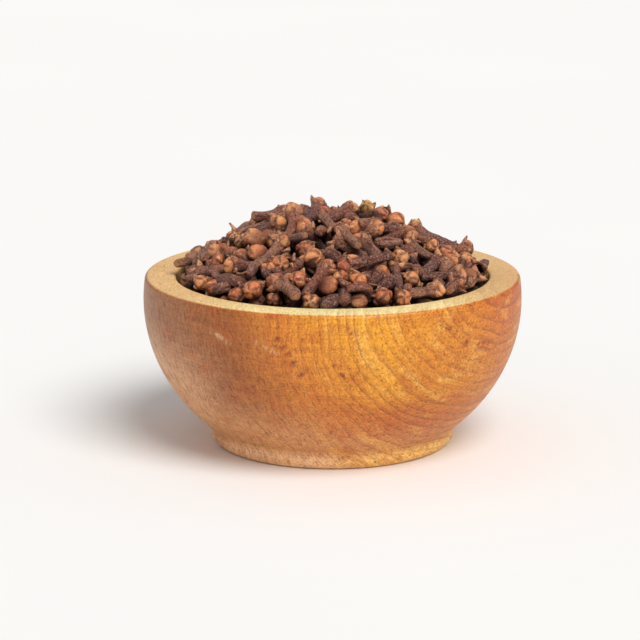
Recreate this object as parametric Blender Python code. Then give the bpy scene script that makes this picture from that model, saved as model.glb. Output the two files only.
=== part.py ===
"""A small turned wooden bowl heaped with whole dried cloves.

Metres, +Z up. The origin is the centre of the foot's flat underside, on the surface that
the bowl stands on. The bowl is one solid of revolution. The cloves are one solid: a core
that fills the bowl, with the cloves that show on the heap fused onto it. The cloves are
laid by a rule: each one is dropped where the heap is still lowest, and settles between
those that already lie there. Some, on the heap's front and along its outline, have places
of their own.
"""

import math

import bmesh
import bpy
import numpy as np
from mathutils import Matrix, Vector

MM = 0.001

# The bowl, in millimetres
BOWL_RADIUS = 50.0
BOWL_HEIGHT = 45.0
BELLY_CENTRE_Z = 38.5  # the height at which the bowl is widest
BELLY_HALF_HEIGHT = 44.6  # the belly is part of an ellipse, this tall below its centre
FOOT_RADIUS = 32.4
FOOT_HEIGHT = 4.3
FOOT_ROUNDING = 2.4
LIP_WIDTH = 8.1
LIP_OUTER_ROUNDING = 1.1
LIP_INNER_ROUNDING = 0.9
HOLLOW_DEPTH = 36.0
WALL_SHARES = (0.1, 0.25, 0.45, 0.66, 0.83, 0.94)  # where the hollow's wall has a point, rim to floor
BOWL_SEGMENTS = 48

# The heap, in millimetres
GAP = 0.3  # between the cloves and the bowl
CHORD_GAP = 0.42  # the same, with what the bowl's flat faces take
HEAP_EDGE_Z = 46.0  # the heap's height where it meets the wall
HEAP_RISE = 16.0  # how far its top is above that
HEAP_SHOULDER = 28.0  # the radius at which it has fallen halfway
HEAP_FALL = 3.4  # how sharply it falls there
HEAP_EDGE_DROP = 12  # how suddenly it falls to the wall
HEAP_DIPS = ((30.0, 6.0, 6.0, 2.2), (9.0, 4.0, 5.0, 1.4))  # x, y, width and depth of hollows in its top
HEAP_PROUD = (2.0, 2.8)  # a clove stands out of the heap's top by no more than this, first and at last
BED_DEPTH = 10.0  # the loose cloves lie this deep over the packed ones
LIP_REACH = 1.8  # above the lip a clove may reach this far out over it
CORE_DEPTH = 3.6  # the core's top is this far below the heap's
CORE_SEGMENTS = 32
CORE_RINGS = 7

# How the cloves are laid
SEED = 11
TRIES = 3000
PLACES_TRIED = 6
PLACES_FOR_ONE = 6  # a clove that fits at none of this many places is put back
WALL_REACH = 30.0  # beyond this radius half the cloves lie along the wall
POSES_TRIED = 20
SETTLING_STEPS = 26
HEAP_MARGIN = 1.0  # a clove is laid where the heap lacks at least this much
WEARINESS = 0.2  # a place where no clove would fit counts as this much less lacking
WALL_MARGIN = 0.75  # a clove is moved in until its balls are this far from the wall
NUDGES = (12, 0.3)  # in so many steps of so many millimetres at most
SQUEEZE = 0.3  # a laid clove and one of those with a place of its own may press into each other this far
SHOWN_CLOVES = 168  # those that show most are fused onto the core
LEAST_BITE = 0.5  # each goes at least this deep into the core

# Cloves that have places of their own: kind, the free end of the stem and the calyx
STANDING_OUT = (
    ("whole", (-20.8, 3.5, 60.2), (-13.8, 10.0, 59.5)),
    ("whole", (-11.3, -13.0, 58.1), (-9.6, -3.0, 62.0)),
    ("whole", (-7.5, -4.0, 59.5), (-3.3, 4.0, 63.0)),
    ("open", (-17.1, 3.0, 58.2), (-25.5, 3.0, 55.2)),
    ("whole", (-36.0, -4.0, 49.4), (-32.0, 5.0, 52.0)),
    ("whole", (12.5, 13.0, 58.3), (9.0, 5.0, 62.9)),
    ("open", (18.0, 11.0, 57.5), (13.4, 4.0, 62.2)),
    ("whole", (-1.5, -3.5, 61.5), (3.8, 5.0, 62.2)),
    ("whole", (27.3, -2.0, 52.8), (21.9, 7.0, 56.4)),
    ("whole", (28.3, 3.0, 51.6), (35.6, 8.0, 50.7)),
    ("whole", (17.9, -6.0, 59.6), (6.6, -9.0, 61.2)),
    ("whole", (-20.6, -23.5, 53.3), (-12.8, -17.5, 58.2)),
    ("stem", (-35.6, -14.0, 50.0), (-26.4, -17.5, 51.6)),
    ("stem", (-30.1, -22.2, 50.3), (-21.8, -26.8, 49.7)),
    ("open", (-27.5, -17.1, 44.9), (-34.8, -10.1, 47.9)),
    ("whole", (-34.4, -14.3, 41.6), (-31.7, -22.5, 45.4)),
    ("whole", (-15.0, -26.4, 43.3), (-23.5, -29.9, 45.8)),
    ("whole", (-19.6, -22.9, 45.5), (-22.7, -15.0, 52.6)),
    ("whole", (-20.0, 5.7, 50.2), (-23.6, -2.5, 53.3)),
    ("whole", (-14.6, -13.9, 49.0), (-13.5, -22.7, 52.6)),
    ("whole", (-12.6, -15.1, 47.5), (-15.8, -23.7, 50.1)),
    ("whole", (-19.0, -3.8, 53.0), (-17.4, 6.5, 56.6)),
    ("open", (-17.4, -28.1, 46.9), (-8.6, -23.9, 52.0)),
    ("whole", (-27.8, 11.2, 51.5), (-21.0, 8.2, 54.8)),
    ("whole", (-33.8, 10.8, 47.6), (-28.8, 3.3, 50.6)),
    ("whole", (0.9, -17.5, 51.7), (-6.6, -13.0, 58.4)),
    ("open", (-3.3, -2.9, 61.4), (1.1, -12.7, 58.8)),
    ("whole", (12.9, -21.6, 52.3), (8.1, -16.8, 57.0)),
    ("stem", (17.5, -12.1, 56.0), (10.7, -16.5, 57.0)),
    ("open", (8.3, -22.2, 53.5), (1.1, -16.6, 56.5)),
    ("whole", (-3.3, -10.2, 49.5), (-7.4, -17.4, 54.1)),
    ("whole", (-10.3, -15.8, 51.2), (-5.8, -23.9, 53.3)),
    ("whole", (-5.5, -21.9, 47.5), (-8.7, -30.6, 49.6)),
    ("whole", (-7.4, -36.2, 46.4), (-2.1, -28.3, 52.0)),
    ("whole", (15.1, -25.9, 55.3), (4.5, -27.6, 52.8)),
    ("whole", (11.1, -23.7, 51.5), (7.1, -32.2, 49.8)),
    ("whole", (0.1, -20.2, 46.2), (2.2, -29.0, 49.3)),
    ("whole", (5.4, -34.8, 45.1), (11.8, -27.8, 50.7)),
    ("whole", (9.2, -29.0, 40.8), (12.4, -36.5, 45.6)),
    ("whole", (19.4, -26.5, 41.4), (17.2, -34.6, 45.8)),
    ("stem", (-1.9, -41.6, 46.9), (1.1, -36.7, 48.3)),
    ("stem", (2.7, -33.0, 47.8), (3.1, -39.7, 45.9)),
    ("whole", (-4.1, -29.0, 42.0), (-5.3, -37.8, 45.4)),
    ("whole", (24.9, -14.6, 52.1), (19.8, -11.2, 55.1)),
    ("whole", (19.5, -10.0, 48.2), (17.3, -18.1, 52.6)),
    ("open", (17.0, -32.8, 48.0), (15.9, -24.7, 51.9)),
    ("whole", (23.4, -17.8, 45.6), (20.5, -26.2, 49.0)),
    ("open", (22.4, -22.5, 49.4), (27.6, -13.7, 51.4)),
    ("whole", (19.6, -33.6, 46.9), (25.3, -29.0, 46.6)),
    ("open", (33.0, -17.9, 44.7), (33.0, -8.3, 50.0)),
    ("open", (40.3, 0.5, 48.0), (37.9, -6.7, 47.6)),
    ("whole", (24.4, 5.0, 44.5), (29.6, -1.2, 49.7)),
)


def belly_radius(z):
    """The bowl's outer radius at a height above the foot."""
    share = (BELLY_CENTRE_Z - z) / BELLY_HALF_HEIGHT
    return BOWL_RADIUS * math.sqrt(1 - share * share)


LIP_OUTER_RADIUS = belly_radius(BOWL_HEIGHT)
MOUTH_RADIUS = LIP_OUTER_RADIUS - LIP_WIDTH


def hollow_radius(z):
    """The radius of the bowl's hollow at a height, constant above the rim."""
    share = np.clip((BOWL_HEIGHT - np.asarray(z, float)) / HOLLOW_DEPTH, 0, 1)
    return MOUTH_RADIUS * np.sqrt(1 - share ** 2.4)


def wall_points(gap=0.0):
    """Points down the hollow's wall as (radius, height), or of a surface inside it by a gap."""
    heights = [BOWL_HEIGHT - share * HOLLOW_DEPTH for share in WALL_SHARES]
    return [(float(hollow_radius(z)) - gap, z) for z in heights]


def arc(centre_r, centre_z, radius, start, end, steps):
    """Points of an arc in the turned profile. Angles are in degrees from +R towards +Z."""
    turns = [math.radians(start + (end - start) * i / steps) for i in range(steps + 1)]
    return [(centre_r + radius * math.cos(t), centre_z + radius * math.sin(t)) for t in turns]


def bowl_profile():
    """The bowl's half section as (radius, height), from under the foot, over the lip, into the hollow."""
    foot = arc(FOOT_RADIUS - FOOT_ROUNDING, FOOT_ROUNDING, FOOT_ROUNDING, -90, 0, 2)
    notch = [(belly_radius(FOOT_HEIGHT), FOOT_HEIGHT)]
    first_z = FOOT_HEIGHT + 1.0
    last_z = BOWL_HEIGHT - LIP_OUTER_ROUNDING
    steps = 8
    heights = [first_z + (last_z - first_z) * i / steps for i in range(steps + 1)]
    belly = [(belly_radius(z), z) for z in heights]
    outer_centre = (belly_radius(last_z) - LIP_OUTER_ROUNDING, last_z)
    inner_centre = (MOUTH_RADIUS + LIP_INNER_ROUNDING, BOWL_HEIGHT - LIP_INNER_ROUNDING)
    lip_outer = arc(*outer_centre, LIP_OUTER_ROUNDING, 36, 90, 2)
    lip_inner = arc(*inner_centre, LIP_INNER_ROUNDING, 90, 180, 2)
    floor_z = BOWL_HEIGHT - HOLLOW_DEPTH
    return [(0.0, 0.0), *foot, *notch, *belly, *lip_outer, *lip_inner, *wall_points(), (0.0, floor_z)]


def core_profile():
    """The core's half section: it fills the hollow up to a little below the heap's top."""
    edge_r = MOUTH_RADIUS - CHORD_GAP
    edge = (edge_r, float(heap_height(edge_r, 0, CORE_DEPTH)))
    radii = [edge_r * i / CORE_RINGS for i in range(CORE_RINGS)]
    top = [(r, float(heap_height(r, 0, CORE_DEPTH))) for r in radii]
    wall = [point for point in wall_points(CHORD_GAP) if point[1] < edge[1] - 1]
    floor = (0.0, BOWL_HEIGHT - HOLLOW_DEPTH + GAP)
    return [floor, *reversed(wall), edge, *reversed(top)]


def turned(name, profile, segments):
    """A solid of revolution about Z, from a profile in millimetres that begins and ends on the axis."""
    work = bmesh.new()
    points = [work.verts.new((r * MM, 0, z * MM)) for r, z in profile]
    edges = [work.edges.new(pair) for pair in zip(points, points[1:])]
    bmesh.ops.spin(
        work,
        geom=points + edges,
        cent=(0, 0, 0),
        axis=(0, 0, 1),
        angle=math.tau,
        steps=segments,
        use_merge=True,
    )
    bmesh.ops.remove_doubles(work, verts=work.verts, dist=1e-6)
    bmesh.ops.recalc_face_normals(work, faces=work.faces)
    mesh = bpy.data.meshes.new(name)
    work.to_mesh(mesh)
    work.free()
    made = bpy.data.objects.new(name, mesh)
    bpy.context.scene.collection.objects.link(made)
    return made


def heap_height(x, y, below=0.0):
    """The height of the heap's top over a point, or of a surface that far below it."""
    radius = np.hypot(x, y)
    bell = 1 / (1 + (radius / HEAP_SHOULDER) ** HEAP_FALL)
    brim = 1 - np.clip(radius / MOUTH_RADIUS, 0, 1) ** HEAP_EDGE_DROP
    return HEAP_EDGE_Z + HEAP_RISE * bell * brim - below


def heap_top(x, y):
    """The height up to which cloves are laid, which is uneven: the heap's own less its hollows."""
    height = heap_height(x, y)
    for dip_x, dip_y, width, depth in HEAP_DIPS:
        height = height - depth * np.exp(-((x - dip_x) ** 2 + (y - dip_y) ** 2) / (2 * width * width))
    return height


class Clove:
    """One clove's kind and sizes in millimetres, and where it lies.

    Its own axis is +X, from the stem's free end to the bud, and the calyx is at +length/2.
    """

    def __init__(self, draw, kind=None):
        drawn = str(draw.choice(["whole", "open", "stem", "bud"], p=[0.86, 0.06, 0.03, 0.05]))
        self.kind = kind or drawn
        self.length = float(np.clip(draw.normal(10.6, 1.2), 8.2, 13.2))  # of the stem
        self.girth = float(np.clip(draw.normal(1.5, 0.14), 1.2, 1.85))  # the stem's radius
        self.bud = float(np.clip(draw.normal(2.25, 0.17), 1.85, 2.6))  # the bud's radius
        if self.kind == "stem":
            self.girth *= 1.3
            self.length *= 0.9
        self.place = np.zeros(3)
        self.turn = np.eye(3)

    def own_balls(self):
        """Balls that fill it, as rows of (x, y, z, radius) about its own origin."""
        half = self.length / 2
        rows = []
        if self.kind != "bud":
            for share in np.linspace(0, 1, 6):
                radius = self.girth * (0.8 + 0.2 * share)
                if self.kind == "stem":
                    radius = self.girth * (0.65 + 0.35 * math.sin(math.pi * (0.15 + 0.7 * share)))
                rows.append((-half + 0.8 * self.girth + share * (self.length - 1.7 * self.girth), 0, 0, radius))
        if self.kind in ("whole", "bud"):
            rows.append((half + 0.5 * self.bud, 0, 0, self.bud))
        if self.kind in ("whole", "open"):
            for corner in range(4):
                turn = math.tau * corner / 4
                reach = self.bud + 0.2
                rows.append((half + 0.3, reach * math.cos(turn), reach * math.sin(turn), 0.55))
        return np.array(rows, float)

    def balls(self):
        """The same balls where the clove lies."""
        own = self.own_balls()
        return np.column_stack([own[:, :3] @ self.turn.T + self.place, own[:, 3]])


def rotation(heading, lean, roll):
    """Turns +X to a heading, raised by a lean, after a roll about its own axis. Radians."""
    turn = Matrix.Rotation(heading, 3, "Z") @ Matrix.Rotation(-lean, 3, "Y") @ Matrix.Rotation(roll, 3, "X")
    return np.array(turn)


def domes(balls, grid_x, grid_y):
    """For each ball, the grid's points that it covers and the height of its top there."""
    for x, y, z, radius in balls:
        apart = (grid_x - x) ** 2 + (grid_y - y) ** 2
        yield apart < radius * radius, z + np.sqrt(np.maximum(radius * radius - apart, 0))


def clear_of_wall(clove):
    """Moves a clove towards the bowl's axis until it is well clear of the wall and the lip."""
    steps, step = NUDGES
    for _ in range(steps):
        x, y, z, radius = clove.balls().T
        above = np.maximum(z - BOWL_HEIGHT - GAP, 0)
        reach = np.sqrt(np.maximum(radius * radius - above * above, 0))
        in_wall = np.hypot(x, y) + reach + WALL_MARGIN > hollow_radius(z)
        if not (in_wall & (reach > 0)).any():
            return
        clove.place[:2] *= 1 - step / np.hypot(*clove.place[:2])


class Heap:
    """The cloves laid so far, and how a further one comes to rest on them."""

    def __init__(self):
        self.laid = []
        self.balls = np.zeros((0, 4))
        self.fixed = np.zeros((0, 4))
        self.cells = np.arange(-42.0, 42.5, 1.0)
        self.grid_x, self.grid_y = np.meshgrid(self.cells, self.cells, indexing="ij")
        self.top = heap_height(self.grid_x, self.grid_y, BED_DEPTH)
        self.weary = np.zeros_like(self.top)

    def rest(self, own, pose, near, fixed, proud):
        """(its middle's height, its place, its turn) at rest in a pose, or None where it would be in the way.

        A pose is (x, y, heading, lean, roll). The clove is lowered straight down until one
        of its balls touches the bed or a ball that lies there.
        """
        turn = rotation(*pose[2:])
        at = own[:, :3] @ turn.T
        x, y, radius = at[:, 0] + pose[0], at[:, 1] + pose[1], own[:, 3]
        out = np.hypot(x, y) + radius + GAP
        if (out > MOUTH_RADIUS + LIP_REACH).any():
            return None
        floor = np.where(out > MOUTH_RADIUS, BOWL_HEIGHT + GAP, heap_height(x, y, BED_DEPTH))
        height = (floor + radius - at[:, 2]).max()
        if len(near):
            apart = (x[:, None] - near[:, 0]) ** 2 + (y[:, None] - near[:, 1]) ** 2
            reach = (radius[:, None] + near[:, 3]) ** 2 - apart
            lifts = near[:, 2] + np.sqrt(np.maximum(reach, 0)) - at[:, 2][:, None]
            height = max(height, np.where(reach > 0, lifts, -np.inf).max())
        z = at[:, 2] + height
        in_wall = (out > hollow_radius(z)) & (z < BOWL_HEIGHT)
        if in_wall.any() or (z + radius - heap_top(x, y) > proud).any():
            return None
        if len(fixed):
            apart = (x[:, None] - fixed[:, 0]) ** 2 + (y[:, None] - fixed[:, 1]) ** 2
            apart += (z[:, None] - fixed[:, 2]) ** 2
            if (apart < (radius[:, None] + fixed[:, 3] - SQUEEZE) ** 2).any():
                return None
        return z.mean(), np.array([pose[0], pose[1], height]), turn

    def stand_out(self, draw):
        """Lays the cloves that have places of their own."""
        for kind, free_end, calyx in STANDING_OUT:
            clove = Clove(draw, kind)
            along = np.subtract(calyx, free_end)
            clove.length = float(np.linalg.norm(along))
            clove.place = np.add(free_end, calyx) / 2
            lean = math.asin(along[2] / clove.length)
            clove.turn = rotation(math.atan2(along[1], along[0]), lean, draw.uniform(0, math.tau))
            clear_of_wall(clove)
            self.fixed = np.vstack([self.fixed, clove.balls()])
            self.laid.append(clove)

    def settle(self, clove, x, y, draw, proud):
        """Drops the clove near a point in the pose that lets it lie lowest, and says whether there is one.

        Half the cloves lie as they like. The others are held to a lean by those around them.
        """
        own = clove.own_balls()
        near, fixed = (rows[np.hypot(rows[:, 0] - x, rows[:, 1] - y) < 24] for rows in (self.balls, self.fixed))
        lean, play = (0.0, 0.5) if draw.uniform() < 0.5 else (draw.normal(0, 0.5), 0.12)
        along_wall = math.atan2(y, x) + draw.choice([-1, 1]) * math.pi / 2
        swing = 0.35 if math.hypot(x, y) > WALL_REACH and draw.uniform() < 0.5 else math.pi
        best, best_pose = None, None
        for _ in range(POSES_TRIED):
            spot = np.array([x, y]) + draw.normal(0, 1.5, 2)
            heading = along_wall + draw.uniform(-swing, swing)
            pose = np.array([*spot, heading, draw.normal(lean, play), draw.uniform(0, math.tau)])
            found = self.rest(own, pose, near, fixed, proud)
            if found and (best is None or found[0] < best[0]):
                best, best_pose = found, pose
        if best is None:
            return False
        for step in range(SETTLING_STEPS):
            spread = 1 - 0.8 * step / SETTLING_STEPS
            pose = best_pose + draw.normal(0, 1, 5) * spread * np.array([0.8, 0.8, 0.3, 0.3 * play, 0.5])
            found = self.rest(own, pose, near, fixed, proud)
            if found and found[0] < best[0]:
                best, best_pose = found, pose
        _, clove.place, clove.turn = best
        clear_of_wall(clove)
        placed = clove.balls()
        self.balls = np.vstack([self.balls, placed])
        self.laid.append(clove)
        for covered, dome in domes(placed, self.grid_x, self.grid_y):
            self.top = np.where(covered, np.maximum(self.top, dome), self.top)
        return True

    def fill(self, draw):
        """Lays cloves where the heap is lowest until it has its full height."""
        clove, failed = Clove(draw), 0
        for proud in np.linspace(*HEAP_PROUD, TRIES):
            out = (MOUTH_RADIUS - 1.5) * np.sqrt(draw.uniform(0, 1, PLACES_TRIED))
            way = draw.uniform(0, math.tau, PLACES_TRIED)
            places = np.column_stack([out * np.cos(way), out * np.sin(way)])
            patches = []
            for i, j in np.rint(places - self.cells[0]).astype(int):
                patches.append((slice(max(i - 1, 0), i + 2), slice(max(j - 1, 0), j + 2)))
            lacks = [
                heap_top(x, y) - self.top[patch].mean() - self.weary[patch].mean()
                for (x, y), patch in zip(places, patches)
            ]
            pick = int(np.argmax(lacks))
            if lacks[pick] < HEAP_MARGIN:
                continue
            if self.settle(clove, *places[pick], draw, proud):
                clove, failed = Clove(draw), 0
                continue
            self.weary[patches[pick]] += WEARINESS
            failed += 1
            if failed == PLACES_FOR_ONE:
                clove, failed = Clove(draw), 0

    def shown(self, count):
        """The cloves that show most from above, by the points of a fine grid that each one tops."""
        cells = np.arange(-MOUTH_RADIUS, MOUTH_RADIUS, 0.6)
        grid_x, grid_y = np.meshgrid(cells, cells, indexing="ij")
        top = np.full(grid_x.shape, -np.inf)
        owner = np.full(grid_x.shape, -1)
        for index, clove in enumerate(self.laid):
            for covered, dome in domes(clove.balls(), grid_x, grid_y):
                higher = covered & (dome > top)
                top[higher] = dome[higher]
                owner[higher] = index
        seen = np.bincount(owner[owner >= 0], minlength=len(self.laid))
        order = np.argsort(-seen, kind="stable")[:count]
        return [self.laid[i] for i in sorted(order)]


def sections(clove):
    """The clove's rings as (x, radius, number of points, first angle), and its two ends as x or None.

    The stem is four-sided. The calyx has a lobe in line with each side's edge. An end of None is flat.
    """
    half, girth, bud = clove.length / 2, 1.2 * clove.girth, clove.bud
    stem = [(-half + 0.2, 0.8 * girth, 4, 0), (half - 1.6, 1.0 * girth, 4, 0)]
    calyx = [(half + 0.5, (1.4 * bud, 0.95 * bud), 8, 0)]
    if clove.kind == "open":
        return [*stem, *calyx, (half - 0.4, 0.5 * bud, 4, 0)], (None, half - 0.7)
    if clove.kind == "stem":
        return [(-half, 0.65 * girth, 4, 0), (0, girth, 4, 0), (half, 0.7 * girth, 4, 0)], (None, None)
    globe = (half + 1.3 * bud, 0.85 * bud, 4, 1)
    if clove.kind == "bud":
        return [(half - 0.1 * bud, 0.7 * bud, 4, 0), (half + 0.5 * bud, bud, 8, 0), globe], (None, half + 1.6 * bud)
    return [*stem, *calyx, globe], (None, half + 1.75 * bud)


def bridge(work, low, high):
    """Closes the side between two rings of four or eight points. Of two unlike ones, two share a point."""
    count = max(len(low), len(high))
    for k in range(count):
        after = (k + 1) % count
        corners = [low[k * len(low) // count], low[after * len(low) // count]]
        corners += [high[after * len(high) // count], high[k * len(high) // count]]
        work.faces.new(dict.fromkeys(corners))


def clove_solid(name, clove):
    """A closed mesh of one clove in a few flat faces, where it lies."""
    rings, ends = sections(clove)
    work = bmesh.new()
    made = []
    for x, radius, count, first in rings:
        radii = radius if isinstance(radius, tuple) else (radius, radius)
        turns = [math.tau * (k / count + first / 8) for k in range(count)]
        ring = [
            work.verts.new((x, radii[k % 2] * math.cos(t), radii[k % 2] * math.sin(t))) for k, t in enumerate(turns)
        ]
        if made and first:
            made[-1] = made[-1][first:] + made[-1][:first]
        if made:
            bridge(work, made[-1], ring)
        made.append(ring)
    for ring, end in ((made[0], ends[0]), (made[-1], ends[1])):
        if end is None:
            work.faces.new(ring)
            continue
        tip = work.verts.new((end, 0, 0))
        for corner, after in zip(ring, ring[1:] + ring[:1]):
            work.faces.new((corner, after, tip))
    turn = Matrix(clove.turn.tolist()).to_4x4()
    bmesh.ops.transform(work, matrix=Matrix.Translation(Vector(clove.place)) @ turn, verts=work.verts)
    bmesh.ops.scale(work, vec=(MM, MM, MM), verts=work.verts)
    bmesh.ops.recalc_face_normals(work, faces=work.faces)
    mesh = bpy.data.meshes.new(name)
    work.to_mesh(mesh)
    work.free()
    return bpy.data.objects.new(name, mesh)


def sink_into_core(clove):
    """Lowers a clove that only lies on others until it bites into the core."""
    balls = clove.balls()
    bite = (heap_height(balls[:, 0], balls[:, 1], CORE_DEPTH) - (balls[:, 2] - balls[:, 3])).max()
    if bite < LEAST_BITE:
        clove.place[2] -= LEAST_BITE - bite


def clears_bowl(piece):
    """Whether a clove's mesh is clear of the bowl's wall and lip, at its corners and along its edges."""
    corners = np.array([vertex.co for vertex in piece.data.vertices]) / MM
    edges = np.array([edge.vertices[:] for edge in piece.data.edges])
    for share in (0, 0.25, 0.5, 0.75):
        x, y, z = (corners[edges[:, 0]] * (1 - share) + corners[edges[:, 1]] * share).T
        in_wall = np.hypot(x, y) > hollow_radius(z) - CHORD_GAP
        if (in_wall & (z < BOWL_HEIGHT + GAP)).any():
            return False
    return True


def fuse(base, pieces):
    """Joins the pieces to the base by one Boolean union on a collection, and applies it."""
    group = bpy.data.collections.new("to_fuse")
    bpy.context.scene.collection.children.link(group)
    for piece in pieces:
        group.objects.link(piece)
    union = base.modifiers.new("union", "BOOLEAN")
    union.operation = "UNION"
    union.operand_type = "COLLECTION"
    union.collection = group
    union.solver = "MANIFOLD"
    bpy.context.view_layer.update()
    graph = bpy.context.evaluated_depsgraph_get()
    base.data = bpy.data.meshes.new_from_object(base.evaluated_get(graph))
    base.modifiers.clear()
    for piece in pieces:
        bpy.data.objects.remove(piece)
    bpy.data.collections.remove(group)


def keep_outer_shell(base):
    """Drops the loose scraps and sealed hollows that fusing leaves, and keeps the one outer body."""
    work = bmesh.new()
    work.from_mesh(base.data)
    unseen = set(work.verts)
    shells = []
    while unseen:
        shell, growing = set(), [unseen.pop()]
        while growing:
            vertex = growing.pop()
            shell.add(vertex)
            for edge in vertex.link_edges:
                other = edge.other_vert(vertex)
                if other in unseen:
                    unseen.remove(other)
                    growing.append(other)
        shells.append(shell)
    shells.sort(key=len, reverse=True)
    for shell in shells[1:]:
        bmesh.ops.delete(work, geom=list(shell), context="VERTS")
    work.to_mesh(base.data)
    work.free()


def finish_of(name, colour, roughness):
    """A plain material with the part's colour."""
    made = bpy.data.materials.new(name)
    made.use_nodes = True
    shader = made.node_tree.nodes["Principled BSDF"]
    shader.inputs["Base Color"].default_value = (*colour, 1)
    shader.inputs["Roughness"].default_value = roughness
    shader.inputs["Metallic"].default_value = 0
    return made


def make_bowl():
    bowl = turned("bowl", bowl_profile(), BOWL_SEGMENTS)
    bowl.data.materials.append(finish_of("bowl_wood", (0.62, 0.30, 0.10), 0.45))
    bowl.data.shade_smooth()
    bowl.data.set_sharp_from_angle(angle=math.radians(35))


def make_cloves():
    draw = np.random.default_rng(SEED)
    heap = Heap()
    heap.stand_out(draw)
    heap.fill(draw)
    cloves = turned("cloves", core_profile(), CORE_SEGMENTS)
    pieces = []
    for index, clove in enumerate(heap.shown(SHOWN_CLOVES)):
        sink_into_core(clove)
        piece = clove_solid(f"clove_{index}", clove)
        if clears_bowl(piece):
            pieces.append(piece)
        else:
            bpy.data.objects.remove(piece)
    fuse(cloves, pieces)
    keep_outer_shell(cloves)
    cloves.data.materials.clear()
    cloves.data.materials.append(finish_of("clove", (0.10, 0.045, 0.025), 0.7))


def main():
    for thing in list(bpy.data.objects):
        bpy.data.objects.remove(thing)
    make_bowl()
    make_cloves()


main()
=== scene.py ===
"""Finish, light and camera for a small wooden bowl heaped with whole cloves.

Lengths are in millimetres up to the point where a mesh is made, and the meshes are in
metres in the frame's own axes. The cloves lie where the frame's solid has them, because
both follow the same rule with the same seed.
"""

import functools
import math

import bpy
import numpy as np
from mathutils import Matrix, Vector


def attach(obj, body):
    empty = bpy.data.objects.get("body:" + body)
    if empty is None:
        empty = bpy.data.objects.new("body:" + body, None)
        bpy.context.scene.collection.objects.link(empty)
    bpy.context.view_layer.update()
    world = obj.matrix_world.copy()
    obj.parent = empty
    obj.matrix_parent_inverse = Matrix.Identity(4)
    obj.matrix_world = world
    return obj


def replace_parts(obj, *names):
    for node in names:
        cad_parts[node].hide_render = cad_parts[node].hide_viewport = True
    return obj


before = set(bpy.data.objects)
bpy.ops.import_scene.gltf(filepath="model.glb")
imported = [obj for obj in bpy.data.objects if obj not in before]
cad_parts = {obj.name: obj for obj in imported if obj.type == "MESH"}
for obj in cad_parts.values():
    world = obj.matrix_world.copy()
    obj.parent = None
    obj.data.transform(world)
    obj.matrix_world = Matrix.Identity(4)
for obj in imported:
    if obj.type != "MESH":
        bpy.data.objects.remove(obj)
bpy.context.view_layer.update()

MM = 0.001

# The bowl
BOWL_RADIUS = 50.0
BOWL_HEIGHT = 45.0
BELLY_CENTRE_Z = 38.5  # the height at which the bowl is widest
BELLY_HALF_HEIGHT = 44.6  # the belly is part of an ellipse, this tall below its centre
FOOT_RADIUS = 32.4
FOOT_HEIGHT = 4.3
FOOT_ROUNDING = 2.4
LIP_WIDTH = 8.1
LIP_OUTER_ROUNDING = 1.1
LIP_INNER_ROUNDING = 0.9
WAIST_REACH = 2.4  # the hollow between foot and belly starts this far above it
LIP_CROWN = 0.12  # the lip's top is this much higher at its middle
HOLLOW_DEPTH = 36.0
BOWL_SEGMENTS = 288

# The heap
GAP = 0.3  # between the cloves and the bowl
HEAP_EDGE_Z = 46.0  # the heap's height where it meets the wall
HEAP_RISE = 16.0  # how far its top is above that
HEAP_SHOULDER = 28.0  # the radius at which it has fallen halfway
HEAP_FALL = 3.4  # how sharply it falls there
HEAP_EDGE_DROP = 12  # how suddenly it falls to the wall
HEAP_DIPS = ((30.0, 6.0, 6.0, 2.2), (9.0, 4.0, 5.0, 1.4))  # x, y, width and depth of hollows in its top
HEAP_PROUD = (2.0, 2.8)  # a clove stands out of the heap's top by no more than this, first and at last
HEAP_GRID = (-42.0, 42.5, 1.0)  # the grid of the heap's height: from, to, step
BED_DEPTH = 10.0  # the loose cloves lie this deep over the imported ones
LIP_REACH = 1.8  # above the lip a clove may reach this far out over it
CORE_DEPTH = 3.6  # the solid's core is this far below the heap's top
SHADE_BED_DEPTH = 7.5  # the dark bed of painted shade that shows between the cloves is this far below it
BED_SEGMENTS = 96

# How the cloves are laid
SEED = 11
TRIES = 3000
PLACES_TRIED = 6
PLACES_FOR_ONE = 6  # a clove that fits at none of this many places is put back
WALL_REACH = 30.0  # beyond this radius half the cloves lie along the wall
POSES_TRIED = 20
SETTLING_STEPS = 26
NEAR = 24.0  # balls further off than this can't touch a clove
HEAP_MARGIN = 1.0  # a clove is laid where the heap lacks at least this much
WEARINESS = 0.2  # a place where no clove would fit counts as this much less lacking
WALL_MARGIN = 0.75  # a clove is moved in until its balls are this far from the wall
NUDGES = (12, 0.3)  # in so many steps of so many millimetres at most
SQUEEZE = 0.3  # a laid clove and one with a place of its own may press into each other this far
SHOWN_CLOVES = 168  # those that show most go down to the solid's core
LEAST_BITE = 0.5  # each at least this deep into it

# A clove's kind, and its sizes as usual, spread, least and most
KIND_SHARES = {"whole": 0.86, "open": 0.06, "stem": 0.03, "bud": 0.05}
STEM_LENGTH = (10.6, 1.2, 8.2, 13.2)
STEM_RADIUS = (1.5, 0.14, 1.2, 1.85)
BUD_RADIUS = (2.25, 0.17, 1.85, 2.6)
BARE_GIRTH = 1.3  # a bare stem's radius and length, by a whole clove's
BARE_LENGTH = 0.9

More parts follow.
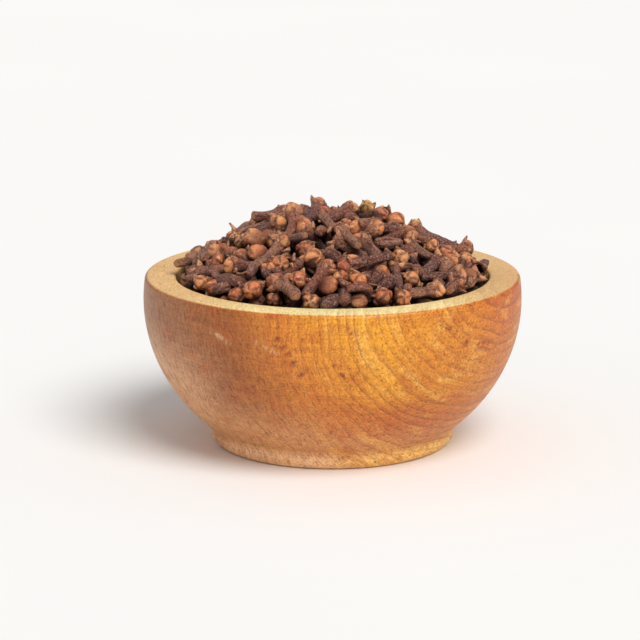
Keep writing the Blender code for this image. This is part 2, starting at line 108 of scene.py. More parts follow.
# Cloves that have places of their own: kind, the free end of the stem and the calyx
OWN_PLACES = (
    ("whole", (-20.8, 3.5, 60.2), (-13.8, 10.0, 59.5)),
    ("whole", (-11.3, -13.0, 58.1), (-9.6, -3.0, 62.0)),
    ("whole", (-7.5, -4.0, 59.5), (-3.3, 4.0, 63.0)),
    ("open", (-17.1, 3.0, 58.2), (-25.5, 3.0, 55.2)),
    ("whole", (-36.0, -4.0, 49.4), (-32.0, 5.0, 52.0)),
    ("whole", (12.5, 13.0, 58.3), (9.0, 5.0, 62.9)),
    ("open", (18.0, 11.0, 57.5), (13.4, 4.0, 62.2)),
    ("whole", (-1.5, -3.5, 61.5), (3.8, 5.0, 62.2)),
    ("whole", (27.3, -2.0, 52.8), (21.9, 7.0, 56.4)),
    ("whole", (28.3, 3.0, 51.6), (35.6, 8.0, 50.7)),
    ("whole", (17.9, -6.0, 59.6), (6.6, -9.0, 61.2)),
    ("whole", (-20.6, -23.5, 53.3), (-12.8, -17.5, 58.2)),
    ("stem", (-35.6, -14.0, 50.0), (-26.4, -17.5, 51.6)),
    ("stem", (-30.1, -22.2, 50.3), (-21.8, -26.8, 49.7)),
    ("open", (-27.5, -17.1, 44.9), (-34.8, -10.1, 47.9)),
    ("whole", (-34.4, -14.3, 41.6), (-31.7, -22.5, 45.4)),
    ("whole", (-15.0, -26.4, 43.3), (-23.5, -29.9, 45.8)),
    ("whole", (-19.6, -22.9, 45.5), (-22.7, -15.0, 52.6)),
    ("whole", (-20.0, 5.7, 50.2), (-23.6, -2.5, 53.3)),
    ("whole", (-14.6, -13.9, 49.0), (-13.5, -22.7, 52.6)),
    ("whole", (-12.6, -15.1, 47.5), (-15.8, -23.7, 50.1)),
    ("whole", (-19.0, -3.8, 53.0), (-17.4, 6.5, 56.6)),
    ("open", (-17.4, -28.1, 46.9), (-8.6, -23.9, 52.0)),
    ("whole", (-27.8, 11.2, 51.5), (-21.0, 8.2, 54.8)),
    ("whole", (-33.8, 10.8, 47.6), (-28.8, 3.3, 50.6)),
    ("whole", (0.9, -17.5, 51.7), (-6.6, -13.0, 58.4)),
    ("open", (-3.3, -2.9, 61.4), (1.1, -12.7, 58.8)),
    ("whole", (12.9, -21.6, 52.3), (8.1, -16.8, 57.0)),
    ("stem", (17.5, -12.1, 56.0), (10.7, -16.5, 57.0)),
    ("open", (8.3, -22.2, 53.5), (1.1, -16.6, 56.5)),
    ("whole", (-3.3, -10.2, 49.5), (-7.4, -17.4, 54.1)),
    ("whole", (-10.3, -15.8, 51.2), (-5.8, -23.9, 53.3)),
    ("whole", (-5.5, -21.9, 47.5), (-8.7, -30.6, 49.6)),
    ("whole", (-7.4, -36.2, 46.4), (-2.1, -28.3, 52.0)),
    ("whole", (15.1, -25.9, 55.3), (4.5, -27.6, 52.8)),
    ("whole", (11.1, -23.7, 51.5), (7.1, -32.2, 49.8)),
    ("whole", (0.1, -20.2, 46.2), (2.2, -29.0, 49.3)),
    ("whole", (5.4, -34.8, 45.1), (11.8, -27.8, 50.7)),
    ("whole", (9.2, -29.0, 40.8), (12.4, -36.5, 45.6)),
    ("whole", (19.4, -26.5, 41.4), (17.2, -34.6, 45.8)),
    ("stem", (-1.9, -41.6, 46.9), (1.1, -36.7, 48.3)),
    ("stem", (2.7, -33.0, 47.8), (3.1, -39.7, 45.9)),
    ("whole", (-4.1, -29.0, 42.0), (-5.3, -37.8, 45.4)),
    ("whole", (24.9, -14.6, 52.1), (19.8, -11.2, 55.1)),
    ("whole", (19.5, -10.0, 48.2), (17.3, -18.1, 52.6)),
    ("open", (17.0, -32.8, 48.0), (15.9, -24.7, 51.9)),
    ("whole", (23.4, -17.8, 45.6), (20.5, -26.2, 49.0)),
    ("open", (22.4, -22.5, 49.4), (27.6, -13.7, 51.4)),
    ("whole", (19.6, -33.6, 46.9), (25.3, -29.0, 46.6)),
    ("open", (33.0, -17.9, 44.7), (33.0, -8.3, 50.0)),
    ("open", (40.3, 0.5, 48.0), (37.9, -6.7, 47.6)),
    ("whole", (24.4, 5.0, 44.5), (29.6, -1.2, 49.7)),
)

# The cloves' finer shape: rings along each kind of form, and sides round it
DETAIL_SEED = 5
STEM_RINGS = 18
STEM_SIDES = 16
BUD_RINGS = 14
BUD_SIDES = 24
LOBE_RINGS = 5
LOBE_SIDES = 8
CUP = ((0.3, 0.98, 0.0), (0.5, 0.93, 0.3), (0.45, 0.8, 0.8))  # each ring's rise, width and depth of shade
OPEN_CUP = ((0.3, 1.0, 0.0), (0.55, 0.93, 0.1), (0.4, 0.74, 0.5), (-0.2, 0.58, 0.9), (-1.2, 0.45, 1.0))
LOBES = 4  # about a cup
BROKEN_LOBES = 0.12  # this share of them
PALE_BUDS = (5, 8)  # of the cloves that have places of their own

# Gaps are filled in passes: tries, from this radius, where the heap lacks so much, how proud at most
GAP_PASSES = ((700, 0.0, 3.0, 0.3), (500, 29.5, 1.4, 1.6))
CRUMBS = 260  # places tried for broken bits between the cloves
CRUMB_GRID = (-42.0, 42.0, 0.5)

# How closed in a point is, which sets the painted shade between the cloves: the grid's step, and the
# directions and distances that are looked at
SHELTER_STEP = 0.5
SHELTER_WAYS = 12
SHELTER_REACHES = (0.8, 1.6, 2.8, 4.4, 7.0)


def srgb(*shown):
    """A colour given as it looks, from 0 to 255, as the renderer's linear one."""
    shares = [value / 255 for value in shown]
    return tuple(share / 12.92 if share < 0.0404 else ((share + 0.055) / 1.055) ** 2.4 for share in shares)


# The wood
RING_AXIS = (44.0, 51.0)  # x and z of the tree's axis, which runs along Y
RING_WIDTH = 2.7
WOOD_TONES = (  # from the tree's middle outwards
    (0.05, srgb(204, 104, 30)),
    (0.18, srgb(218, 134, 40)),
    (0.36, srgb(236, 160, 42)),
    (0.52, srgb(214, 126, 42)),
    (0.68, srgb(164, 92, 40)),
    (0.86, srgb(172, 114, 72)),
)
# Partly the lower wall's own tone, partly painted light bounced from the floor
LOW_WALL_TONE_AND_BOUNCE_LIGHT = srgb(208, 146, 92)
# A painted reflection of the white surroundings at the lower left edge
PAINTED_EDGE_REFLECTION = srgb(226, 170, 122)
WOOD_RED = srgb(190, 92, 36)
WOOD_LIGHT = srgb(244, 184, 88)
WOOD_LINE = srgb(142, 66, 28)
WOOD_STAIN = srgb(136, 46, 24)
WOOD_SCRATCH = srgb(250, 214, 160)
# The foot's colours at the left and the right: partly its own tone, partly painted light bounced from the
# floor
FOOT_LEFT_TONE_AND_BOUNCE_LIGHT = srgb(250, 194, 144)
FOOT_RIGHT_TONE_AND_BOUNCE_LIGHT = srgb(246, 192, 104)
LIP_CREAM = srgb(255, 236, 170)
LIP_TAN = srgb(234, 182, 118)
LIP_LINE = srgb(206, 148, 88)
STAINS = (  # chains of dark spots on the front: start and end as (x, z), and width
    ((-14.2, 39.8), (-7.2, 29.0), 1.5),
    ((33.0, 35.5), (42.0, 31.5), 1.8),
    ((26.5, 42.0), (32.5, 37.0), 1.5),
    ((-1.5, 35.0), (5.5, 25.5), 0.8),
    ((3.6, 42.5), (6.0, 37.5), 0.9),
)
SCRATCHES = (  # pale ones, given the same way
    ((-30.5, 38.8), (-25.5, 36.0), 1.2),
    ((-19.5, 37.5), (-13.0, 34.6), 1.5),
)

# The cloves' colours, from one clove to another
STEM_TONES = (
    (0.0, srgb(122, 70, 60)),
    (0.2, srgb(196, 116, 84)),
    (0.4, srgb(112, 70, 70)),
    (0.6, srgb(218, 150, 110)),
    (0.8, srgb(134, 86, 84)),
    (1.0, srgb(186, 112, 82)),
)
BUD_TONES = (
    (0.0, srgb(240, 136, 78)),
    (0.2, srgb(250, 166, 98)),
    (0.4, srgb(214, 112, 68)),
    (0.6, srgb(250, 148, 80)),
    (0.75, srgb(192, 98, 64)),
    (0.92, srgb(250, 156, 90)),
    (1.0, srgb(255, 200, 110)),
)
LOBE_TONES = ((0.0, srgb(176, 106, 76)), (0.5, srgb(216, 142, 98)), (1.0, srgb(148, 90, 74)))
PAINTED_GAP_SHADE = srgb(46, 11, 5)  # painted shade in the deepest gaps between the cloves

# The camera, in millimetres
CAMERA_AT = (0.0, -700.0, 197.6)
CAMERA_AIM = (-3.31, 0.0, 32.18)
LENS = 152.33
SENSOR = 36.0

# The light, from the camera's right and above. Angles are in degrees
KEY_AZIMUTH = 34
KEY_ELEVATION = 52
KEY_STRENGTH = 2.35
KEY_SPREAD = 36
KEY_COLOUR = (1.0, 0.985, 0.95)
WORLD_STRENGTH = 0.43
FLOOR_TONES = ((0.93, 0.93, 0.93), (0.95, 0.95, 0.95))
FLOOR_HALF = 3.0  # metres


def belly_radius(z):
    """The bowl's outer radius at a height above the foot."""
    share = (BELLY_CENTRE_Z - z) / BELLY_HALF_HEIGHT
    return BOWL_RADIUS * math.sqrt(1 - share * share)


MOUTH_RADIUS = belly_radius(BOWL_HEIGHT) - LIP_WIDTH


def hollow_radius(z):
    """The radius of the bowl's hollow at a height, constant above the rim."""
    share = np.clip((BOWL_HEIGHT - np.asarray(z, float)) / HOLLOW_DEPTH, 0, 1)
    return MOUTH_RADIUS * np.sqrt(1 - share ** 2.4)


def arc(centre_r, centre_z, radius, start, end, steps):
    """Points of an arc in the turned profile. Angles are in degrees from +R towards +Z."""
    turns = [math.radians(start + (end - start) * i / steps) for i in range(steps + 1)]
    return [(centre_r + radius * math.cos(t), centre_z + radius * math.sin(t)) for t in turns]


def heap_height(x, y, below=0.0):
    """The height of the heap's top over a point, or of a surface that far below it."""
    radius = np.hypot(x, y)
    bell = 1 / (1 + (radius / HEAP_SHOULDER) ** HEAP_FALL)
    brim = 1 - np.clip(radius / MOUTH_RADIUS, 0, 1) ** HEAP_EDGE_DROP
    return HEAP_EDGE_Z + HEAP_RISE * bell * brim - below


def heap_top(x, y):
    """The height up to which cloves are laid, which is uneven: the heap's own less its hollows."""
    height = heap_height(x, y)
    for dip_x, dip_y, width, depth in HEAP_DIPS:
        height = height - depth * np.exp(-((x - dip_x) ** 2 + (y - dip_y) ** 2) / (2 * width * width))
    return height


def drawn_size(draw, usual, spread, least, most):
    """A random size, held between the least and the most."""
    return float(np.clip(draw.normal(usual, spread), least, most))


class Clove:
    """One clove's kind and sizes in millimetres, and where it lies.

    Its own axis is +X, from the stem's free end to the bud, and the calyx is at +length/2.
    """

    def __init__(self, draw, kind=None):
        drawn = str(draw.choice(list(KIND_SHARES), p=list(KIND_SHARES.values())))
        self.kind = kind or drawn
        self.length = drawn_size(draw, *STEM_LENGTH)
        self.girth = drawn_size(draw, *STEM_RADIUS)
        self.bud = drawn_size(draw, *BUD_RADIUS)
        if self.kind == "stem":
            self.girth *= BARE_GIRTH
            self.length *= BARE_LENGTH
        self.place = np.zeros(3)
        self.turn = np.eye(3)

    def own_balls(self):
        """Balls that fill it, as rows of (x, y, z, radius) about its own origin."""
        half = self.length / 2
        rows = []
        if self.kind != "bud":
            for share in np.linspace(0, 1, 6):
                radius = self.girth * (0.8 + 0.2 * share)
                if self.kind == "stem":
                    radius = self.girth * (0.65 + 0.35 * math.sin(math.pi * (0.15 + 0.7 * share)))
                along = -half + 0.8 * self.girth + share * (self.length - 1.7 * self.girth)
                rows.append((along, 0, 0, radius))
        if self.kind in ("whole", "bud"):
            rows.append((half + 0.5 * self.bud, 0, 0, self.bud))
        if self.kind in ("whole", "open"):
            for corner in range(4):
                turn = math.tau * corner / 4
                reach = self.bud + 0.2
                rows.append((half + 0.3, reach * math.cos(turn), reach * math.sin(turn), 0.55))
        return np.array(rows, float)

    def balls(self):
        """The same balls where the clove lies."""
        own = self.own_balls()
        return np.column_stack([own[:, :3] @ self.turn.T + self.place, own[:, 3]])


def rotation(heading, lean, roll):
    """Turns +X to a heading, raised by a lean, after a roll about its own axis. Radians."""
    turn = Matrix.Rotation(heading, 3, "Z") @ Matrix.Rotation(-lean, 3, "Y") @ Matrix.Rotation(roll, 3, "X")
    return np.array(turn)


def domes(balls, grid_x, grid_y):
    """For each ball, the grid's points that it covers and the height of its top there."""
    for x, y, z, radius in balls:
        apart = (grid_x - x) ** 2 + (grid_y - y) ** 2
        yield apart < radius * radius, z + np.sqrt(np.maximum(radius * radius - apart, 0))


def raised(top, balls, grid_x, grid_y):
    """A surface's heights over a grid, raised to the tops of the balls that stand out of it."""
    for covered, dome in domes(balls, grid_x, grid_y):
        top = np.where(covered, np.maximum(top, dome), top)
    return top


def clear_of_wall(clove):
    """Moves a clove towards the bowl's axis until it is well clear of the wall and the lip."""
    steps, step = NUDGES
    for _ in range(steps):
        x, y, z, radius = clove.balls().T
        above = np.maximum(z - BOWL_HEIGHT - GAP, 0)
        reach = np.sqrt(np.maximum(radius * radius - above * above, 0))
        in_wall = np.hypot(x, y) + reach + WALL_MARGIN > hollow_radius(z)
        if not (in_wall & (reach > 0)).any():
            return
        clove.place[:2] *= 1 - step / np.hypot(*clove.place[:2])


class Heap:
    """The cloves laid so far, and how a further one comes to rest on them."""

    def __init__(self):
        self.laid = []
        self.balls = np.zeros((0, 4))
        self.fixed = np.zeros((0, 4))
        self.cells = np.arange(*HEAP_GRID)
        self.grid_x, self.grid_y = np.meshgrid(self.cells, self.cells, indexing="ij")
        self.top = heap_height(self.grid_x, self.grid_y, BED_DEPTH)
        self.weary = np.zeros_like(self.top)

    def rest(self, own, pose, near, fixed, proud):
        """Its middle's height, its place and its turn at rest in a pose, or None where it doesn't fit.

        A pose is (x, y, heading, lean, roll). The clove is lowered straight down until one
        of its balls touches the bed or a ball that lies there.
        """
        turn = rotation(*pose[2:])
        at = own[:, :3] @ turn.T
        x, y, radius = at[:, 0] + pose[0], at[:, 1] + pose[1], own[:, 3]
        out = np.hypot(x, y) + radius + GAP
        if (out > MOUTH_RADIUS + LIP_REACH).any():
            return None
        floor = np.where(out > MOUTH_RADIUS, BOWL_HEIGHT + GAP, heap_height(x, y, BED_DEPTH))
        height = (floor + radius - at[:, 2]).max()
        if len(near):
            apart = (x[:, None] - near[:, 0]) ** 2 + (y[:, None] - near[:, 1]) ** 2
            reach = (radius[:, None] + near[:, 3]) ** 2 - apart
            lifts = near[:, 2] + np.sqrt(np.maximum(reach, 0)) - at[:, 2][:, None]
            height = max(height, np.where(reach > 0, lifts, -np.inf).max())
        z = at[:, 2] + height
        in_wall = (out > hollow_radius(z)) & (z < BOWL_HEIGHT)
        if in_wall.any() or (z + radius - heap_top(x, y) > proud).any():
            return None
        if len(fixed):
            apart = (x[:, None] - fixed[:, 0]) ** 2 + (y[:, None] - fixed[:, 1]) ** 2
            apart += (z[:, None] - fixed[:, 2]) ** 2
            if (apart < (radius[:, None] + fixed[:, 3] - SQUEEZE) ** 2).any():
                return None
        return z.mean(), np.array([pose[0], pose[1], height]), turn

    def lay_own_places(self, draw):
        """Lays the cloves that have places of their own."""
        for kind, free_end, calyx in OWN_PLACES:
            clove = Clove(draw, kind)
            along = np.subtract(calyx, free_end)
            clove.length = float(np.linalg.norm(along))
            clove.place = np.add(free_end, calyx) / 2
            lean = math.asin(along[2] / clove.length)
            clove.turn = rotation(math.atan2(along[1], along[0]), lean, draw.uniform(0, math.tau))
            clear_of_wall(clove)
            self.fixed = np.vstack([self.fixed, clove.balls()])
            self.laid.append(clove)

    def settle(self, clove, x, y, draw, proud):
        """Drops the clove near a point, in the lowest pose that fits, and says whether there is one.

        Half the cloves lie as they like. The others are held to a lean by those around them.
        """
        own = clove.own_balls()
        near = self.balls[np.hypot(self.balls[:, 0] - x, self.balls[:, 1] - y) < NEAR]
        fixed = self.fixed[np.hypot(self.fixed[:, 0] - x, self.fixed[:, 1] - y) < NEAR]
        lean, play = (0.0, 0.5) if draw.uniform() < 0.5 else (draw.normal(0, 0.5), 0.12)
        along_wall = math.atan2(y, x) + draw.choice([-1, 1]) * math.pi / 2
        swing = 0.35 if math.hypot(x, y) > WALL_REACH and draw.uniform() < 0.5 else math.pi
        best, best_pose = None, None
        for _ in range(POSES_TRIED):
            spot = np.array([x, y]) + draw.normal(0, 1.5, 2)
            heading = along_wall + draw.uniform(-swing, swing)
            pose = np.array([*spot, heading, draw.normal(lean, play), draw.uniform(0, math.tau)])
            found = self.rest(own, pose, near, fixed, proud)
            if found and (best is None or found[0] < best[0]):
                best, best_pose = found, pose
        if best is None:
            return False
        for step in range(SETTLING_STEPS):
            spread = 1 - 0.8 * step / SETTLING_STEPS
            pose = best_pose + draw.normal(0, 1, 5) * spread * np.array([0.8, 0.8, 0.3, 0.3 * play, 0.5])
            found = self.rest(own, pose, near, fixed, proud)
            if found and found[0] < best[0]:
                best, best_pose = found, pose
        _, clove.place, clove.turn = best
        clear_of_wall(clove)
        placed = clove.balls()
        self.balls = np.vstack([self.balls, placed])
        self.laid.append(clove)
        self.top = raised(self.top, placed, self.grid_x, self.grid_y)
        return True

    def patch(self, place):
        """The grid's cells about a place."""
        i, j = np.rint(np.array(place) - self.cells[0]).astype(int)
        return slice(max(i - 1, 0), i + 2), slice(max(j - 1, 0), j + 2)

    def fill(self, draw):
        """Lays cloves where the heap is lowest until it has its full height."""
        clove, failed = Clove(draw), 0
        for proud in np.linspace(*HEAP_PROUD, TRIES):
            out = (MOUTH_RADIUS - 1.5) * np.sqrt(draw.uniform(0, 1, PLACES_TRIED))
            way = draw.uniform(0, math.tau, PLACES_TRIED)
            places = np.column_stack([out * np.cos(way), out * np.sin(way)])
            patches = [self.patch(place) for place in places]
            lacks = [
                heap_top(x, y) - self.top[patch].mean() - self.weary[patch].mean()
                for (x, y), patch in zip(places, patches)
            ]
            pick = int(np.argmax(lacks))
            if lacks[pick] < HEAP_MARGIN:
                continue
            if self.settle(clove, *places[pick], draw, proud):
                clove, failed = Clove(draw), 0
                continue
            self.weary[patches[pick]] += WEARINESS
            failed += 1
            if failed == PLACES_FOR_ONE:
                clove, failed = Clove(draw), 0

    def shown(self, count):
        """The cloves that show most from above, by the points of a fine grid that each one tops."""
        cells = np.arange(-MOUTH_RADIUS, MOUTH_RADIUS, 0.6)
        grid_x, grid_y = np.meshgrid(cells, cells, indexing="ij")
        top = np.full(grid_x.shape, -np.inf)
        owner = np.full(grid_x.shape, -1)
        for index, clove in enumerate(self.laid):
            for covered, dome in domes(clove.balls(), grid_x, grid_y):
                higher = covered & (dome > top)
                top[higher] = dome[higher]
                owner[higher] = index
        seen = np.bincount(owner[owner >= 0], minlength=len(self.laid))
        order = np.argsort(-seen, kind="stable")[:count]
        return [self.laid[i] for i in sorted(order)]


def sink_into_core(clove):
    """Lowers a clove that only lies on others until it bites into the core."""
    balls = clove.balls()
    bite = (heap_height(balls[:, 0], balls[:, 1], CORE_DEPTH) - (balls[:, 2] - balls[:, 3])).max()
    if bite < LEAST_BITE:
        clove.place[2] -= LEAST_BITE - bite


# Shapes


def smooth(value, low, high):
    """0 below low, 1 above high, and a smooth rise between."""
    share = np.clip((np.asarray(value, float) - low) / (high - low), 0, 1)
    return share * share * (3 - 2 * share)


class Piece:
    """A mesh in the making, of many small closed shapes, with a look for each of its points.

    The look is four numbers: a random one for each shape, how far the point is along it,
    how much of a hole, seam or tip it is in, and whether it is on a ridge or in a furrow.
    """

    def __init__(self):
        self.points = []
        self.looks = []
        self.faces = []
        self.count = 0

    def add_rings(self, rings, looks):
        """Adds a tube through rings, an array of (rings, sides, 3), with both ends closed."""
        ring_count, sides, _ = rings.shape
        points, looks = rings.reshape(-1, 3), looks.reshape(-1, 4)
        index = self.count + np.arange(ring_count * sides).reshape(ring_count, sides)
        after = np.roll(index, -1, axis=1)
        quads = np.stack([index[:-1], after[:-1], after[1:], index[1:]], axis=-1).reshape(-1, 4)
        self.faces += quads.tolist()
        for ring, one, other in ((0, after[0], index[0]), (ring_count - 1, index[-1], after[-1])):
            middle = self.count + len(points)
            points = np.vstack([points, rings[ring].mean(axis=0)])
            looks = np.vstack([looks, looks[ring * sides]])
            self.faces += [[int(a), int(b), middle] for a, b in zip(one, other)]
        self.points.append(points)
        self.looks.append(looks)
        self.count += len(points)

    def make(self, name, material, slot, surroundings=None):
        """Makes the mesh object, in metres, which rides on the frame's one body."""
        mesh = bpy.data.meshes.new(name)
        points = np.vstack(self.points)
        mesh.from_pydata((points * MM).tolist(), [], self.faces)
        looks = np.vstack(self.looks).astype(np.float32)
        mesh.attributes.new("look", "FLOAT_COLOR", "POINT").data.foreach_set("color", looks.ravel())
        if surroundings is not None:
            shelter = surroundings.shelter(points).astype(np.float32)
            mesh.attributes.new("shelter", "FLOAT", "POINT").data.foreach_set("value", shelter)
        mesh.shade_smooth()
        made = bpy.data.objects.new(name, mesh)
        bpy.context.scene.collection.objects.link(made)
        made.data.materials.append(material)
        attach(made, "root")
        return made


class Surroundings:
    """The height of the heap and the lip over a fine grid."""

    def __init__(self, cloves):
        self.cells = np.arange(-BOWL_RADIUS - 1, BOWL_RADIUS + 1, SHELTER_STEP)
        x, y = np.meshgrid(self.cells, self.cells, indexing="ij")
        out = np.hypot(x, y)
        self.top = np.where(out < MOUTH_RADIUS, heap_height(out, 0, SHADE_BED_DEPTH), 0.0)
        self.top = np.where((out > MOUTH_RADIUS) & (out < BOWL_RADIUS - 3), BOWL_HEIGHT, self.top)
        for clove in cloves:
            self.top = raised(self.top, clove.balls(), x, y)

    def shelter(self, points):
        """How closed in each point is by what stands about it, from 0 in the open to 1 in a deep gap. It
        sets the painted shade in the cloves' colour.
        """
        closed = np.zeros(len(points))
        for turn in np.arange(SHELTER_WAYS) * math.tau / SHELTER_WAYS:
            steepest = np.zeros(len(points))
            for reach in SHELTER_REACHES:
                place = points[:, :2] + (reach * math.cos(turn), reach * math.sin(turn))
                index = np.rint((place - self.cells[0]) / SHELTER_STEP).astype(int)
                index = index.clip(0, len(self.cells) - 1)
                rise = self.top[index[:, 0], index[:, 1]] - points[:, 2]
                steepest = np.maximum(steepest, rise / np.hypot(rise, reach))
            closed += steepest / SHELTER_WAYS
        return closed


def ring_points(x, radius, turns):
    """Points about the X axis: x, radius and turns are arrays that broadcast to (rings, sides)."""
    x, radius, turns = np.broadcast_arrays(x, radius, turns)
    return np.stack([x, radius * np.cos(turns), radius * np.sin(turns)], axis=-1)


def looks_of(shape, tint, along=0.0, depth=0.0, relief=0.5):
    """Looks for a grid of points."""
    made = np.zeros((*shape, 4))
    for channel, value in enumerate((tint, along, depth, relief)):
        made[..., channel] = value
    return made


def placed(clove, points, bend):
    """Bends a clove's points a little and brings them from its own axes to where it lies."""
    bent = points.copy()
    bow = (points[..., 0] / clove.length) ** 2
    bent[..., 1] += bend[0] * bow
    bent[..., 2] += bend[1] * bow
    return bent @ clove.turn.T + clove.place


def waves(turns, along, draw, counts):
    """Uneven waves of about unit height over a grid of turns and lengths, so many round each ring."""
    total = np.zeros(np.broadcast(turns, along).shape)
    for count in counts:
        height, drift, start = draw.normal(0, 1), draw.normal(0, 0.4), draw.uniform(0, math.tau)
        total += height * np.sin(count * turns + drift * along + start)
    return total / math.sqrt(len(counts))


def add_stem(piece, clove, draw, bend, tint):
    """The stem with its cup: four-sided, blunt at its free end, wrinkled, and wider under the bud."""
    half, girth, bud, length = clove.length / 2, clove.girth, clove.bud, clove.length
    turns = np.arange(STEM_SIDES)[None, :] * math.tau / STEM_SIDES
    share = np.concatenate([[0, 0.006, 0.03], np.linspace(0.075, 1, STEM_RINGS - 3)])
    cut = draw.uniform(0.7, 0.9)
    blunt = cut + (1 - cut) * smooth(share, 0.0, 0.075)
    blunt[0] *= 0.82
    free_end = draw.uniform(0.68, 1.0)
    radius = girth * (free_end + (1.0 - free_end) * share ** 0.8)
    radius *= 1 + 0.045 * np.sin(draw.uniform(3, 8) * share + draw.uniform(0, math.tau))
    if clove.kind == "stem":
        radius = girth * (0.46 + 0.5 * np.sin(math.pi * (0.1 + 0.74 * share)))
        blunt[-1] *= 0.6
    else:
        flare = draw.uniform(0.9, 1.0)
        radius += (flare * bud - radius) * smooth(share, 0.7, 1.0) ** 1.4
    x = -half + length * share
    corner = turns + math.pi / 4
    power = draw.uniform(2.6, 3.6)
    square = (np.abs(np.cos(corner)) ** power + np.abs(np.sin(corner)) ** power) ** (-1 / power)
    flat = 1 - draw.uniform(0, 0.18) * np.cos(turns - draw.uniform(0, math.tau)) ** 2
    fine = waves(turns, 1.4 * x[:, None], draw, (4, 6, 7, 8, 9))
    rough = waves(turns, 3.4 * x[:, None], draw, (1, 2, 3, 5))
    grid = (radius * blunt)[:, None] * square * flat * (0.96 + 0.05 * fine + 0.036 * rough)
    rings = ring_points(x[:, None], grid, turns)
    looks = looks_of(rings.shape[:2], tint, share[:, None], 0.0, 0.5 + 0.2 * fine + 0.14 * rough)
    if clove.kind != "stem":
        wave = 1 + 0.05 * waves(turns, 0 * turns, draw, (2, 3, 5))
        for rise, wide, depth in OPEN_CUP if clove.kind == "open" else CUP:
            ring = ring_points(half + rise + 0 * turns, bud * wide * wave, turns)
            rings = np.concatenate([rings, ring])
            looks = np.concatenate([looks, looks_of(ring.shape[:2], tint, 1.0, depth)])
    piece.add_rings(placed(clove, rings, bend), looks)


def add_lobe(piece, draw, out_of, reach, width, thick, spread, curl, tint, depth=0.0):
    """A pointed, curved, tapering plate.

    out_of brings its own points, with X along the axis it stands by and Y away from it, to
    where it belongs.
    """
    turns = np.arange(LOBE_SIDES)[None, :] * math.tau / LOBE_SIDES
    shares = np.linspace(0, 1, LOBE_RINGS)
    lean = spread - curl * shares
    step = reach / (LOBE_RINGS - 1)
    along = np.concatenate([[0], np.cumsum(step * np.cos(lean[:-1]))])
    out = np.concatenate([[0], np.cumsum(step * np.sin(lean[:-1]))])
    wide = width * (1 - 0.86 * shares ** 1.5) * (1 + draw.normal(0, 0.06, LOBE_RINGS))
    thin = thick * (1 - 0.6 * shares)
    across = wide[:, None] * np.cos(turns)
    raised = thin[:, None] * np.sin(turns) + 0.1 * across ** 2
    x = along[:, None] + raised * np.sin(lean)[:, None]
    radial = out[:, None] - raised * np.cos(lean)[:, None]
    rings = np.stack([x, radial, across], axis=-1)
    looks = looks_of(rings.shape[:2], tint, shares[:, None], depth, 0.5 + 0.35 * np.abs(np.cos(turns)))
    piece.add_rings(out_of(rings), looks)


def add_lobes(piece, clove, draw, bend, tint):
    """The calyx's four pointed lobes, spread from the cup's corners. A few are broken off."""
    half, bud = clove.length / 2, clove.bud
    for corner in range(LOBES):
        side = math.tau * corner / LOBES + draw.normal(0, 0.1)
        cos, sin = math.cos(side), math.sin(side)
        broken = draw.uniform() < BROKEN_LOBES

        def out_of(points):
            moved = points + (half - 0.35, 0.66 * bud, 0.0)
            return placed(clove, moved @ np.array([[1, 0, 0], [0, cos, sin], [0, -sin, cos]]), bend)

        add_lobe(
            piece,
            draw,
            out_of,
            reach=bud * draw.normal(1.04, 0.1) * (0.5 if broken else 1),
            width=0.52 * bud * draw.normal(1, 0.08),
            thick=0.27 * bud,
            spread=math.radians(draw.normal(64, 8)),
            curl=math.radians(draw.normal(34, 14)),
            tint=tint,
            depth=draw.uniform(),
        )


def add_bud(piece, clove, draw, bend, tint):
    """The unopened bud: four petals that overlap each other in turn, with seams that cross at the tip."""
    half, bud = clove.length / 2, clove.bud
    from_tip = np.linspace(0.06, math.radians(140), BUD_RINGS)[:, None]
    turns = np.arange(BUD_SIDES)[None, :] * math.tau / BUD_SIDES
    twist = draw.choice([-1, 1]) * draw.uniform(0.2, 0.8)
    petal = (turns + twist * (1 - from_tip / 2) + draw.uniform(0, math.tau)) / math.tau * 4
    across = petal % 1
    seam = np.minimum(across, 1 - across) * np.sin(from_tip) * 2.6
    fade = smooth(from_tip, 0.0, 0.35) * (1 - 0.8 * smooth(from_tip, 1.1, 2.0))
    furrow = np.exp(-((seam / 0.3) ** 2)) * fade
    rim = np.exp(-(((seam - 0.5) / 0.25) ** 2)) * fade
    lumps = waves(turns, 2.2 * bud * from_tip, draw, (1, 2, 3, 4, 5))
    corner = turns + draw.uniform(0, math.tau)
    square = (np.abs(np.cos(corner)) ** 2.5 + np.abs(np.sin(corner)) ** 2.5) ** (-1 / 2.5)
    relief = 0.09 * (across - 0.5) * fade - 0.085 * furrow + 0.035 * lumps
    relief = relief + draw.uniform(0.0, 0.14) * np.exp(-((from_tip / 0.5) ** 2))
    radius = 0.98 * bud * (1 + relief)
    wide = radius * np.sin(from_tip) * (1 + (square - 1) * np.sin(from_tip))
    x = half + 0.5 * bud + draw.normal(0.94, 0.07) * radius * np.cos(from_tip)
    rings = ring_points(x, wide, turns)
    depth = np.clip(furrow, 0, 1)
    looks = looks_of(rings.shape[:2], tint, from_tip / math.pi, depth, 0.5 + 0.3 * rim + 0.16 * lumps)
    piece.add_rings(placed(clove, rings[::-1], bend), looks[::-1])


def fill_gaps(heap, draw):
    """Buds and broken stems in the gaps that are too small for a whole clove."""
    for tries, inner_r, lack, proud in GAP_PASSES:
        for _ in range(tries):
            out = math.sqrt(draw.uniform(inner_r ** 2, (MOUTH_RADIUS - 1.0) ** 2))
            way = draw.uniform(0, math.tau)
            x, y = out * math.cos(way), out * math.sin(way)
            if heap_height(x, y) - heap.top[heap.patch((x, y))].mean() < lack:
                continue
            clove = Clove(draw, "bud" if draw.uniform() < 0.6 else "stem")
            clove.length *= draw.uniform(0.4, 0.75)
            clove.girth *= draw.uniform(0.55, 0.9)
            heap.settle(clove, x, y, draw, proud)


